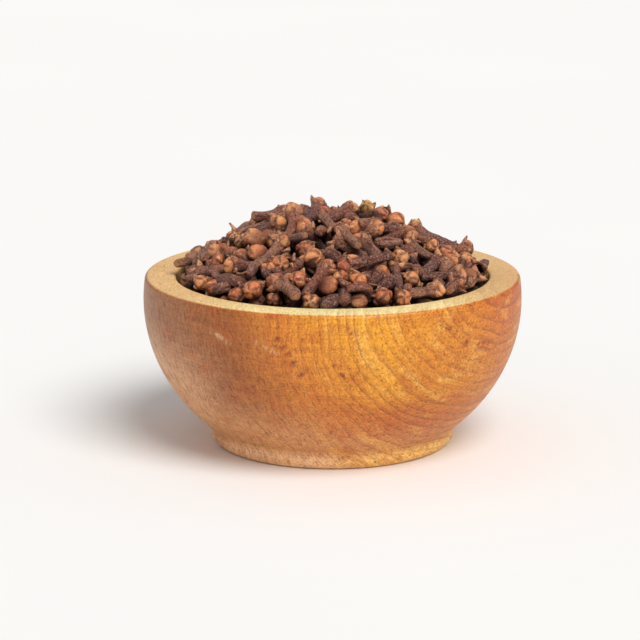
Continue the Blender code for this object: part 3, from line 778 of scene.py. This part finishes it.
def add_crumbs(piece, heap, draw):
    """Broken lobes, petals and thin bits of stalk that lie in the hollows between the cloves."""
    cells = np.arange(*CRUMB_GRID)
    grid_x, grid_y = np.meshgrid(cells, cells, indexing="ij")
    top = heap_height(grid_x, grid_y, SHADE_BED_DEPTH)
    for clove in heap.laid:
        top = raised(top, clove.balls(), grid_x, grid_y)
    for _ in range(CRUMBS):
        out = (MOUTH_RADIUS - 2.5) * math.sqrt(draw.uniform())
        way = draw.uniform(0, math.tau)
        x, y = out * math.cos(way), out * math.sin(way)
        i, j = np.rint((np.array([x, y]) - cells[0]) / CRUMB_GRID[2]).astype(int)
        around = top[i - 2 : i + 3, j - 2 : j + 3]
        z = float(around.mean()) + 0.15
        if z > float(heap_top(x, y)) - 1.0:
            continue
        turn = rotation(draw.uniform(0, math.tau), draw.normal(0, 0.35), draw.normal(0, 0.5))
        slender = draw.uniform() < 0.3
        reach = draw.uniform(3.5, 6.5) if slender else draw.uniform(1.6, 2.8)

        def out_of(points):
            return (points - (reach / 2, 0, 0)) @ turn.T + (x, y, z)

        add_lobe(
            piece,
            draw,
            out_of,
            reach=reach,
            width=0.36 if slender else draw.uniform(0.6, 1.0),
            thick=0.33 if slender else 0.28,
            spread=draw.normal(0, 0.15),
            curl=draw.normal(0, 0.3 if slender else 0.7),
            tint=draw.uniform(),
            depth=draw.uniform(),
        )


def make_cloves(heap, materials):
    """All the cloves of the heap, as one piece of stems, one of calyx lobes and one of buds."""
    draw = np.random.default_rng(DETAIL_SEED)
    fill_gaps(heap, draw)
    stems, lobes, buds = Piece(), Piece(), Piece()
    for index, clove in enumerate(heap.laid):
        tint, bud_tint = draw.uniform(size=2)
        bud_tint = 1.0 if index in PALE_BUDS else 0.94 * bud_tint
        bend = draw.normal(0, 1.4, 2)
        if clove.kind != "bud":
            add_stem(stems, clove, draw, bend, tint)
        if clove.kind in ("whole", "open"):
            add_lobes(lobes, clove, draw, bend, tint)
        if clove.kind in ("whole", "bud"):
            add_bud(buds, clove, draw, bend, bud_tint)
    add_crumbs(lobes, heap, draw)
    about = Surroundings(heap.laid)
    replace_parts(stems.make("clove_stems", materials["stem"], "clove", about), "cloves")
    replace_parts(lobes.make("clove_calyx_lobes", materials["lobe"], "clove", about), "cloves")
    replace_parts(buds.make("clove_buds", materials["bud"], "clove", about), "cloves")


def turned_rings(profile, segments):
    """A turned surface's rings in millimetres, as (points of the profile, segments, 3)."""
    profile = np.array(profile)
    turns = np.arange(segments)[None, :] * math.tau / segments
    radius, z = profile[:, 0][:, None], profile[:, 1][:, None]
    return np.stack([radius * np.cos(turns), radius * np.sin(turns), z + 0 * turns], axis=-1)


def make_shade_bed(materials):
    """A dark, lumpy bed of painted shade that closes the gaps between the cloves."""
    edge_r = MOUTH_RADIUS - 2 * GAP
    top = [(r, float(heap_height(r, 0, SHADE_BED_DEPTH))) for r in np.linspace(edge_r, 0.4, 44)]
    floor_z = BOWL_HEIGHT - 0.98 * HOLLOW_DEPTH
    wall = [(float(hollow_radius(z)) - 2 * GAP, z) for z in np.linspace(floor_z, top[0][1] - 1, 12)]
    rings = turned_rings([(0.5, floor_z - 0.2), *wall, *top], BED_SEGMENTS)
    x, y = rings[..., 0], rings[..., 1]
    lumps = np.sin(x * 1.1 + 0.8 * np.sin(y * 0.7)) * np.sin(y * 1.2 + 1.1)
    inside = (np.arange(len(rings)) > len(wall))[:, None] & (np.hypot(x, y) < edge_r - 2)
    rings[..., 2] += 0.8 * lumps * inside
    piece = Piece()
    piece.add_rings(rings, looks_of(rings.shape[:2], 0.0))
    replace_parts(piece.make("clove_shade_bed", materials["bed"], "clove"), "cloves")


def bowl_profile():
    """The bowl's half section as (radius, height, paleness), from under the foot into the hollow."""
    foot_r = FOOT_RADIUS - FOOT_ROUNDING
    under = [(r, 0.0) for r in np.linspace(0.4, foot_r, 14)[:-1]]
    foot = arc(foot_r, FOOT_ROUNDING, FOOT_ROUNDING, -90, 0, 10)
    first_z, last_z = FOOT_HEIGHT + WAIST_REACH, BOWL_HEIGHT - LIP_OUTER_ROUNDING
    corners = (
        (FOOT_RADIUS, FOOT_HEIGHT - WAIST_REACH / 2),
        (belly_radius(FOOT_HEIGHT) - 0.15, FOOT_HEIGHT - 0.2),
        (belly_radius(first_z), first_z),
    )
    waist = []
    for share in np.linspace(0, 1, 8)[:-1]:
        weights = ((1 - share) ** 2, 2 * share * (1 - share), share ** 2)
        waist.append(tuple(sum(w * c[i] for w, c in zip(weights, corners)) for i in (0, 1)))
    belly = [(belly_radius(z), z) for z in np.linspace(first_z, last_z, 44)]
    outer_r = belly_radius(last_z) - LIP_OUTER_ROUNDING
    inner_r = MOUTH_RADIUS + LIP_INNER_ROUNDING
    lip_outer = arc(outer_r, last_z, LIP_OUTER_ROUNDING, 10, 90, 8)
    lip_inner = arc(inner_r, BOWL_HEIGHT - LIP_INNER_ROUNDING, LIP_INNER_ROUNDING, 90, 170, 6)
    crown = []
    for share in np.linspace(0, 1, 10)[1:-1]:
        radius = outer_r + (inner_r - outer_r) * share
        crown.append((radius, BOWL_HEIGHT + LIP_CROWN * math.sin(math.pi * share)))
    heights = np.linspace(BOWL_HEIGHT - 1.5, BOWL_HEIGHT - 0.995 * HOLLOW_DEPTH, 24)
    wall = [(float(hollow_radius(z)), z) for z in heights]
    outside = [*under, *foot, *waist, *belly, *lip_outer]
    inside = [*crown, *lip_inner, *wall, (0.5, BOWL_HEIGHT - HOLLOW_DEPTH)]
    pale_from = len(outside) - 5
    profile = [*outside, *inside]
    return profile, np.clip((np.arange(len(profile)) - pale_from) / 3, 0, 1)


def make_bowl(materials):
    """The bowl, turned finely enough that its outline is round. Its look's second number is paleness."""
    profile, paleness = bowl_profile()
    rings = turned_rings(profile, BOWL_SEGMENTS)
    piece = Piece()
    piece.add_rings(rings, looks_of(rings.shape[:2], 0.0, paleness[:, None]))
    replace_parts(piece.make("bowl_turned", materials["wood"], "bowl_wood"), "bowl")


# Materials


class Graph:
    """A material's nodes, with a short call for each kind that is used here."""

    def __init__(self, name, roughness, specular=0.5):
        self.material = bpy.data.materials.new(name)
        self.material.use_nodes = True
        self.tree = self.material.node_tree
        self.shader = self.tree.nodes["Principled BSDF"]
        self.shader.inputs["Roughness"].default_value = roughness
        self.shader.inputs["Specular IOR Level"].default_value = specular

    def feed(self, socket, value):
        if isinstance(value, bpy.types.NodeSocket):
            self.tree.links.new(value, socket)
        else:
            socket.default_value = value

    def node(self, kind, inputs=(), **settings):
        made = self.tree.nodes.new(kind)
        for key, value in settings.items():
            setattr(made, key, value)
        for key, value in dict(inputs).items():
            self.feed(made.inputs[key], value)
        return made

    def math(self, operation, first, second=0.0):
        return self.node("ShaderNodeMath", {0: first, 1: second}, operation=operation).outputs[0]

    def add(self, *values):
        return functools.reduce(lambda total, value: self.math("ADD", total, value), values)

    def times(self, *values):
        return functools.reduce(lambda total, value: self.math("MULTIPLY", total, value), values)

    def vector(self, x, y, z):
        return self.node("ShaderNodeCombineXYZ", {0: x, 1: y, 2: z}).outputs[0]

    def scaled(self, vector, factors):
        return self.node("ShaderNodeVectorMath", {0: vector, 1: factors}, operation="MULTIPLY").outputs[0]

    def shifted(self, vector, offset):
        return self.node("ShaderNodeVectorMath", {0: vector, 1: offset}, operation="ADD").outputs[0]

    def noise(self, vector, scale=1.0, detail=3.0, roughness=0.5):
        inputs = {"Vector": vector, "Scale": scale, "Detail": detail, "Roughness": roughness}
        return self.node("ShaderNodeTexNoise", inputs).outputs["Fac"]

    def swing(self, vector, scale, reach, detail=2.0):
        """Noise about zero, that reaches about so far to either side."""
        return self.times(self.math("SUBTRACT", self.noise(vector, scale, detail), 0.5), 4.0 * reach)

    def rise(self, value, low, high, to_low=0.0, to_high=1.0):
        inputs = {"Value": value, "From Min": low, "From Max": high, "To Min": to_low, "To Max": to_high}
        return self.node("ShaderNodeMapRange", inputs, interpolation_type="SMOOTHSTEP").outputs[0]

    def mix(self, share, first, second):
        made = self.node("ShaderNodeMix", data_type="RGBA")
        self.feed(made.inputs[0], share)
        for socket, value in ((made.inputs[6], first), (made.inputs[7], second)):
            self.feed(socket, (*value, 1) if isinstance(value, tuple) else value)
        return made.outputs[2]

    def tinted(self, colour, value, low, high, most, tint):
        """The colour, with more of a tint, up to a share, as the value goes from low to high."""
        return self.mix(self.rise(value, low, high, 0.0, most), colour, tint)

    def ramp(self, value, stops):
        made = self.node("ShaderNodeValToRGB", {0: value})
        ramp = made.color_ramp
        while len(ramp.elements) < len(stops):
            ramp.elements.new(0.5)
        for element, (place, colour) in zip(ramp.elements, stops):
            element.position = place
            element.color = (*colour, 1)
        return made.outputs[0]

    def brighten(self, colour, factor):
        """The colour times a factor, which goes redder as it goes darker."""
        red, blue = self.math("POWER", factor, 0.75), self.math("POWER", factor, 1.15)
        return self.scaled(colour, self.vector(red, factor, blue))

    def with_painted_gap_shade(self, colour, most):
        """The colour with painted shade: darker and redder where the heap closes the point in."""
        shelter = self.node("ShaderNodeAttribute", attribute_name="shelter").outputs["Fac"]
        return self.mix(self.rise(shelter, 0.25, 0.9, 0.0, most), colour, PAINTED_GAP_SHADE)

    def bump(self, height, strength, distance):
        inputs = {"Height": height, "Strength": strength, "Distance": distance * MM}
        self.feed(self.shader.inputs["Normal"], self.node("ShaderNodeBump", inputs).outputs[0])

    def position(self):
        """The object's own coordinates in millimetres."""
        return self.scaled(self.node("ShaderNodeTexCoord").outputs["Object"], (1 / MM, 1 / MM, 1 / MM))

    def look(self):
        """The four numbers of the look attribute."""
        look = self.node("ShaderNodeAttribute", attribute_name="look")
        parts = self.node("ShaderNodeSeparateColor", {0: look.outputs["Color"]})
        return (*parts.outputs[:3], look.outputs["Alpha"])


def stain_spots(g, x, y, z, start, end, width):
    """How much of a chain of small spots a point is in, along a line from start to end on the front."""
    length = math.dist(start, end)
    way = ((end[0] - start[0]) / length, (end[1] - start[1]) / length)
    from_x, from_z = g.math("SUBTRACT", x, start[0]), g.math("SUBTRACT", z, start[1])
    along = g.add(g.times(from_x, way[0]), g.times(from_z, way[1]))
    aside = g.math("ABSOLUTE", g.math("SUBTRACT", g.times(from_z, way[0]), g.times(from_x, way[1])))
    chain = g.vector(g.times(along, 0.55), g.times(aside, 0.35), start[0])
    spots = g.rise(g.noise(chain, 1.0, 3, 0.6), 0.44, 0.62)
    ends = g.times(g.rise(along, -0.5, 0.8), g.rise(along, length + 0.5, length - 0.8))
    ragged = g.rise(g.add(aside, g.swing(g.vector(x, z, start[0]), 0.8, 0.3)), width, 0.0)
    return g.times(spots, ends, ragged, g.rise(y, 0.0, -5.0))


def growth_rings(g, place, out):
    """How much of a ring's dark line and of its late wood a point is in, and how near the tree's middle."""
    uneven = g.swing(g.vector(g.times(out, 0.16), 0.0, 0.0), 1.0, 0.35)
    ring = g.add(g.math("DIVIDE", out, RING_WIDTH), uneven, g.swing(place, 0.9, 0.05))
    phase = g.math("FRACT", ring)
    each = g.vector(g.times(g.math("FLOOR", ring), 3.7), 0.0, 0.0)
    strength = g.rise(g.noise(each, 1.0, 1), 0.35, 0.65, 0.45, 1.0)
    patchy = g.rise(g.noise(place, 0.16, 3), 0.36, 0.56, 0.35, 1.0)
    near = g.rise(out, 46.0, 76.0, 1.0, 0.25)
    line = g.times(g.math("POWER", phase, 5.0), g.rise(phase, 1.0, 0.9))
    line = g.times(line, strength, patchy, near)
    late = g.times(g.math("POWER", phase, 2.0), strength, near)
    return line, late, near


def wood_zones(g, place, other, x, z, out):
    """The wood's broad zones: gold at the right, dull at the left, redder low down; the lower wall and foot
    paler, partly their own tone and partly painted light bounced from the floor, and the lower left edge
    paler with a painted reflection.
    """
    tone = g.add(out, g.swing(place, 0.05, 5.0))
    base = g.ramp(g.math("DIVIDE", tone, 110.0), WOOD_TONES)
    # Painted light: the lower wall turns pinkish tan, partly the wood's own tone and partly light bounced
    # from the floor
    low = g.rise(g.add(z, g.times(x, 0.12), g.swing(place, 0.06, 2.5)), 22.0, 6.0)
    base = g.mix(g.times(low, 0.85), base, LOW_WALL_TONE_AND_BOUNCE_LIGHT)
    # Painted reflection: the lower left edge goes paler, as if it reflected the white surroundings
    left_edge_reflection = g.times(g.rise(x, -24.0, -44.0), g.rise(z, 38.0, 22.0))
    base = g.mix(g.times(left_edge_reflection, 0.8), base, PAINTED_EDGE_REFLECTION)
    right = g.rise(x, -8.0, 16.0)
    red = g.times(g.rise(g.add(z, g.swing(other, 0.05, 3.0)), 7.0, 13.0), g.rise(z, 25.0, 17.0), right)
    base = g.mix(g.times(red, 0.6), base, WOOD_RED)
    far_right = g.rise(x, 6.0, 26.0)
    base = g.mix(g.times(far_right, g.rise(z, 42.0, 32.0), 0.25), base, WOOD_RED)
    base = g.brighten(base, g.rise(far_right, 0.0, 1.0, 1.0, 0.93))
    # The foot's colours: partly the wood's own tone, partly painted light bounced from the floor
    return g.mix(g.rise(z, 6.0, 2.5), base, g.mix(right, FOOT_LEFT_TONE_AND_BOUNCE_LIGHT, FOOT_RIGHT_TONE_AND_BOUNCE_LIGHT))


def lip_colour(g, x, line, late, blotch):
    """The lip: cream at the front, tan at the sides, with the rings faint in it."""
    from_middle = g.math("ABSOLUTE", g.add(x, -4.0))
    cream = g.tinted(LIP_CREAM, from_middle, 12.0, 48.0, 0.85, LIP_TAN)
    cream = g.mix(g.times(g.add(g.times(late, 0.25), g.times(line, 0.6)), 0.8), cream, LIP_LINE)
    cream = g.tinted(cream, blotch, 0.45, 0.68, 0.3, LIP_TAN)
    return g.tinted(cream, x, 22.0, 44.0, 0.35, LIP_LINE)


def wood_material():
    """Oiled wood: growth rings about an axis along Y, fibres, pores and turning marks, and a paler lip."""
    g = Graph("bowl_wood", 0.42, specular=0.45)
    place = g.position()
    other = g.shifted(place, (71.0, 13.0, 37.0))
    x, y, z = g.node("ShaderNodeSeparateXYZ", {0: place}).outputs
    _, pale, _, _ = g.look()

    across = g.add(x, -RING_AXIS[0], g.times(y, 0.05), g.swing(place, 0.024, 2.6), g.swing(place, 0.1, 0.3))
    above = g.add(z, -RING_AXIS[1], g.swing(other, 0.026, 2.6), g.swing(other, 0.11, 0.3))
    out = g.math("SQRT", g.add(g.times(across, across), g.times(above, above)))
    turn = g.math("ARCTAN2", above, across)
    line, late, near = growth_rings(g, place, out)

    blotch = g.noise(g.scaled(place, (0.16, 0.08, 0.16)), 1.0, 2)
    light = g.noise(g.vector(g.times(out, 0.3), g.times(turn, 2.6), g.times(y, 0.05)), 1.0, 3)
    colour = g.tinted(wood_zones(g, place, other, x, z, out), blotch, 0.5, 0.7, 0.4, WOOD_RED)
    colour = g.mix(g.times(g.rise(light, 0.5, 0.7, 0.0, 0.5), near), colour, WOOD_LIGHT)
    colour = g.mix(g.times(late, 0.24), colour, WOOD_LINE)
    colour = g.mix(g.times(line, 0.85), colour, WOOD_LINE)
    for stain in STAINS:
        colour = g.mix(g.times(stain_spots(g, x, y, z, *stain), 0.85), colour, WOOD_STAIN)
    for scratch in SCRATCHES:
        colour = g.mix(g.times(stain_spots(g, x, y, z, *scratch), 0.4), colour, WOOD_SCRATCH)
    colour = g.mix(pale, colour, lip_colour(g, x, line, late, blotch))

    fibre = g.noise(g.vector(g.times(out, 2.2), g.times(turn, 30.0), g.times(y, 0.6)), 1.0, 3, 0.6)
    dash = g.noise(g.vector(g.times(out, 1.8), g.times(turn, 32.0), g.times(y, 0.5)), 1.0, 2, 0.5)
    ray = g.noise(g.vector(g.times(turn, 62.0), g.times(y, 0.12), g.times(out, 0.10)), 1.0, 2)
    mark = g.noise(g.vector(g.times(x, 0.05), g.times(y, 0.05), g.times(z, 2.1)), 1.0, 3, 0.65)
    pore = g.noise(g.scaled(place, (2.4, 1.2, 2.4)), 1.0, 2, 0.6)
    shade = g.rise(dash, 0.56, 0.68, 0.03, -0.26)
    for grain, depth in ((fibre, 1.3), (ray, 0.4), (mark, 0.7), (pore, 1.6)):
        shade = g.add(shade, g.times(g.math("SUBTRACT", grain, 0.5), depth))
    on_lip = g.rise(pale, 0.0, 1.0, 1.0, 0.62)
    shade = g.add(g.times(shade, on_lip), 1.0)
    g.feed(g.shader.inputs["Base Color"], g.brighten(colour, shade))
    g.bump(g.add(g.times(mark, 0.6), g.times(fibre, 0.7), g.times(line, -0.4)), 0.5, 0.12)
    g.feed(g.shader.inputs["Roughness"], g.rise(pore, 0.3, 0.7, 0.36, 0.55))
    return g.material


def stem_material():
    """Dry stems: dark purple-brown, finely pitted and redder towards the cup, with painted highlights on
    the ridges and painted shade in the furrows and the cup's hollow.
    """
    g = Graph("clove_stem", 0.5, specular=0.45)
    place = g.position()
    tint, along, depth, relief = g.look()
    colour = g.ramp(tint, STEM_TONES)
    colour = g.tinted(colour, along, 0.55, 1.0, 0.5, srgb(200, 122, 76))
    blotch = g.noise(place, 0.36, 3)
    colour = g.tinted(colour, blotch, 0.5, 0.66, 0.6, srgb(80, 42, 38))
    pit = g.noise(g.shifted(place, (9.0, 5.0, 3.0)), 1.6, 4, 0.7)
    colour = g.tinted(colour, pit, 0.5, 0.62, 0.75, srgb(66, 26, 18))
    # Painted shade: the furrows between the wrinkles go nearly black
    colour = g.tinted(colour, relief, 0.44, 0.1, 0.85, srgb(50, 17, 11))
    speck = g.noise(place, 2.3, 4, 0.75)
    # Painted highlights: pale pink specks on the ridges
    painted_highlight = g.times(g.rise(speck, 0.49, 0.6), g.rise(relief, 0.3, 0.75, 0.35, 1.0))
    colour = g.mix(g.times(painted_highlight, 0.8), colour, srgb(250, 194, 172))
    cut = g.times(g.rise(along, 0.004, 0.0), g.rise(tint, 0.35, 0.45))
    colour = g.mix(g.times(cut, 0.7), colour, srgb(224, 160, 108))
    # Painted shade in the cup's hollow, deepest in its middle
    colour = g.mix(depth, colour, srgb(28, 9, 6))
    # Painted shade in the heap's gaps
    g.feed(g.shader.inputs["Base Color"], g.with_painted_gap_shade(colour, 0.85))
    g.bump(g.add(g.times(speck, 1.3), g.times(pit, -1.3)), 1.0, 0.8)
    return g.material


def lobe_material():
    """Calyx lobes: brown at the foot and nearly black at the tip, with painted highlights on their edges.
    """
    g = Graph("clove_lobe", 0.5, specular=0.45)
    place = g.position()
    tint, along, odd, relief = g.look()
    colour = g.ramp(tint, LOBE_TONES)
    colour = g.tinted(colour, along, 0.35, 1.0, 0.65, srgb(84, 48, 38))
    colour = g.tinted(colour, odd, 0.7, 0.9, 0.6, srgb(236, 170, 104))
    dark = g.noise(g.shifted(place, (3.0, 7.0, 1.0)), 1.5, 4, 0.7)
    colour = g.tinted(colour, dark, 0.5, 0.62, 0.7, srgb(68, 29, 20))
    speck = g.noise(place, 2.2, 3, 0.7)
    # Painted highlights: pale specks along the lobes' edges
    painted_highlight = g.times(g.rise(speck, 0.48, 0.62), g.rise(relief, 0.4, 0.85, 0.5, 1.0))
    colour = g.mix(g.times(painted_highlight, 0.75), colour, srgb(248, 196, 158))
    # Painted shade in the heap's gaps
    g.feed(g.shader.inputs["Base Color"], g.with_painted_gap_shade(colour, 0.8))
    g.bump(speck, 0.9, 0.5)
    return g.material


def bud_material():
    """Buds: tan to orange-brown petals, mottled, with dark seams and painted highlights on the rims and
    lumps.
    """
    g = Graph("clove_bud", 0.3, specular=0.6)
    place = g.position()
    tint, from_tip, seam, relief = g.look()
    colour = g.ramp(tint, BUD_TONES)
    blotch = g.noise(place, 0.5, 3)
    colour = g.tinted(colour, blotch, 0.5, 0.68, 0.5, srgb(150, 68, 44))
    speck = g.noise(place, 1.4, 4, 0.7)
    colour = g.tinted(colour, speck, 0.5, 0.63, 0.5, srgb(118, 50, 32))
    glow = g.noise(g.shifted(place, (4.0, 2.0, 8.0)), 1.2, 4, 0.7)
    # Painted highlights: pale patches on the petals' rims and lumps
    painted_highlight = g.times(g.rise(glow, 0.5, 0.63), g.rise(relief, 0.3, 0.75, 0.4, 1.0))
    colour = g.mix(g.times(painted_highlight, 0.75), colour, srgb(255, 214, 162))
    colour = g.mix(g.times(seam, 0.85), colour, srgb(74, 28, 16))
    colour = g.tinted(colour, from_tip, 0.42, 0.72, 0.7, srgb(110, 52, 36))
    # Painted shade in the heap's gaps
    g.feed(g.shader.inputs["Base Color"], g.with_painted_gap_shade(colour, 0.8))
    g.bump(g.add(g.times(speck, -1.0), g.times(glow, 1.3)), 0.8, 0.45)
    return g.material


def shade_bed_material():
    """Painted shade for what is deep between the cloves: nearly black brown."""
    g = Graph("clove_shade_bed", 0.8, specular=0.2)
    patch = g.noise(g.position(), 0.9, 4, 0.65)
    g.feed(g.shader.inputs["Base Color"], g.ramp(patch, [(0.4, srgb(18, 9, 7)), (0.65, srgb(58, 34, 27))]))
    g.bump(patch, 1.0, 1.2)
    return g.material


def floor_material():
    """A matt white tabletop, with a trace of unevenness in its tone."""
    g = Graph("floor", 0.9, specular=0.0)
    tone = g.noise(g.position(), 0.004, 2)
    g.feed(g.shader.inputs["Base Color"], g.ramp(tone, [(0.3, FLOOR_TONES[0]), (0.7, FLOOR_TONES[1])]))
    return g.material


# Floor, light and camera


def make_floor():
    corners = [(FLOOR_HALF * x, FLOOR_HALF * y, 0) for x, y in ((-1, -1), (1, -1), (1, 1), (-1, 1))]
    mesh = bpy.data.meshes.new("floor")
    mesh.from_pydata(corners, [], [(0, 1, 2, 3)])
    made = bpy.data.objects.new("floor", mesh)
    bpy.context.scene.collection.objects.link(made)
    made.data.materials.append(floor_material())


def make_lights():
    """One broad, distant key light, and a white world that fills its shadows."""
    data = bpy.data.lights.new("key", "SUN")
    data.energy = KEY_STRENGTH
    data.angle = math.radians(KEY_SPREAD)
    data.color = KEY_COLOUR
    key = bpy.data.objects.new("key", data)
    side, up = math.radians(KEY_AZIMUTH), math.radians(KEY_ELEVATION)
    towards = Vector((math.sin(side) * math.cos(up), -math.cos(side) * math.cos(up), math.sin(up)))
    key.rotation_euler = (-towards).to_track_quat("-Z", "Y").to_euler()
    bpy.context.scene.collection.objects.link(key)
    world = bpy.data.worlds.new("studio")
    bpy.context.scene.world = world
    world.use_nodes = True
    background = world.node_tree.nodes["Background"]
    background.inputs["Color"].default_value = (1, 1, 1, 1)
    background.inputs["Strength"].default_value = WORLD_STRENGTH
    bpy.context.scene.view_settings.view_transform = "Standard"


def make_camera():
    data = bpy.data.cameras.new("camera")
    data.sensor_width = SENSOR
    data.lens = LENS
    data.clip_start = 0.01
    made = bpy.data.objects.new("camera", data)
    made.location = Vector(CAMERA_AT) * MM
    aim = Vector(CAMERA_AIM) * MM - made.location
    made.rotation_euler = aim.to_track_quat("-Z", "Y").to_euler()
    bpy.context.scene.collection.objects.link(made)
    bpy.context.scene.camera = made


def main():
    make_camera()
    make_lights()
    make_floor()
    materials = {
        "wood": wood_material(),
        "stem": stem_material(),
        "lobe": lobe_material(),
        "bud": bud_material(),
        "bed": shade_bed_material(),
    }
    draw = np.random.default_rng(SEED)
    heap = Heap()
    heap.lay_own_places(draw)
    heap.fill(draw)
    for clove in heap.shown(SHOWN_CLOVES):
        sink_into_core(clove)
    make_bowl(materials)
    make_shade_bed(materials)
    make_cloves(heap, materials)


main()
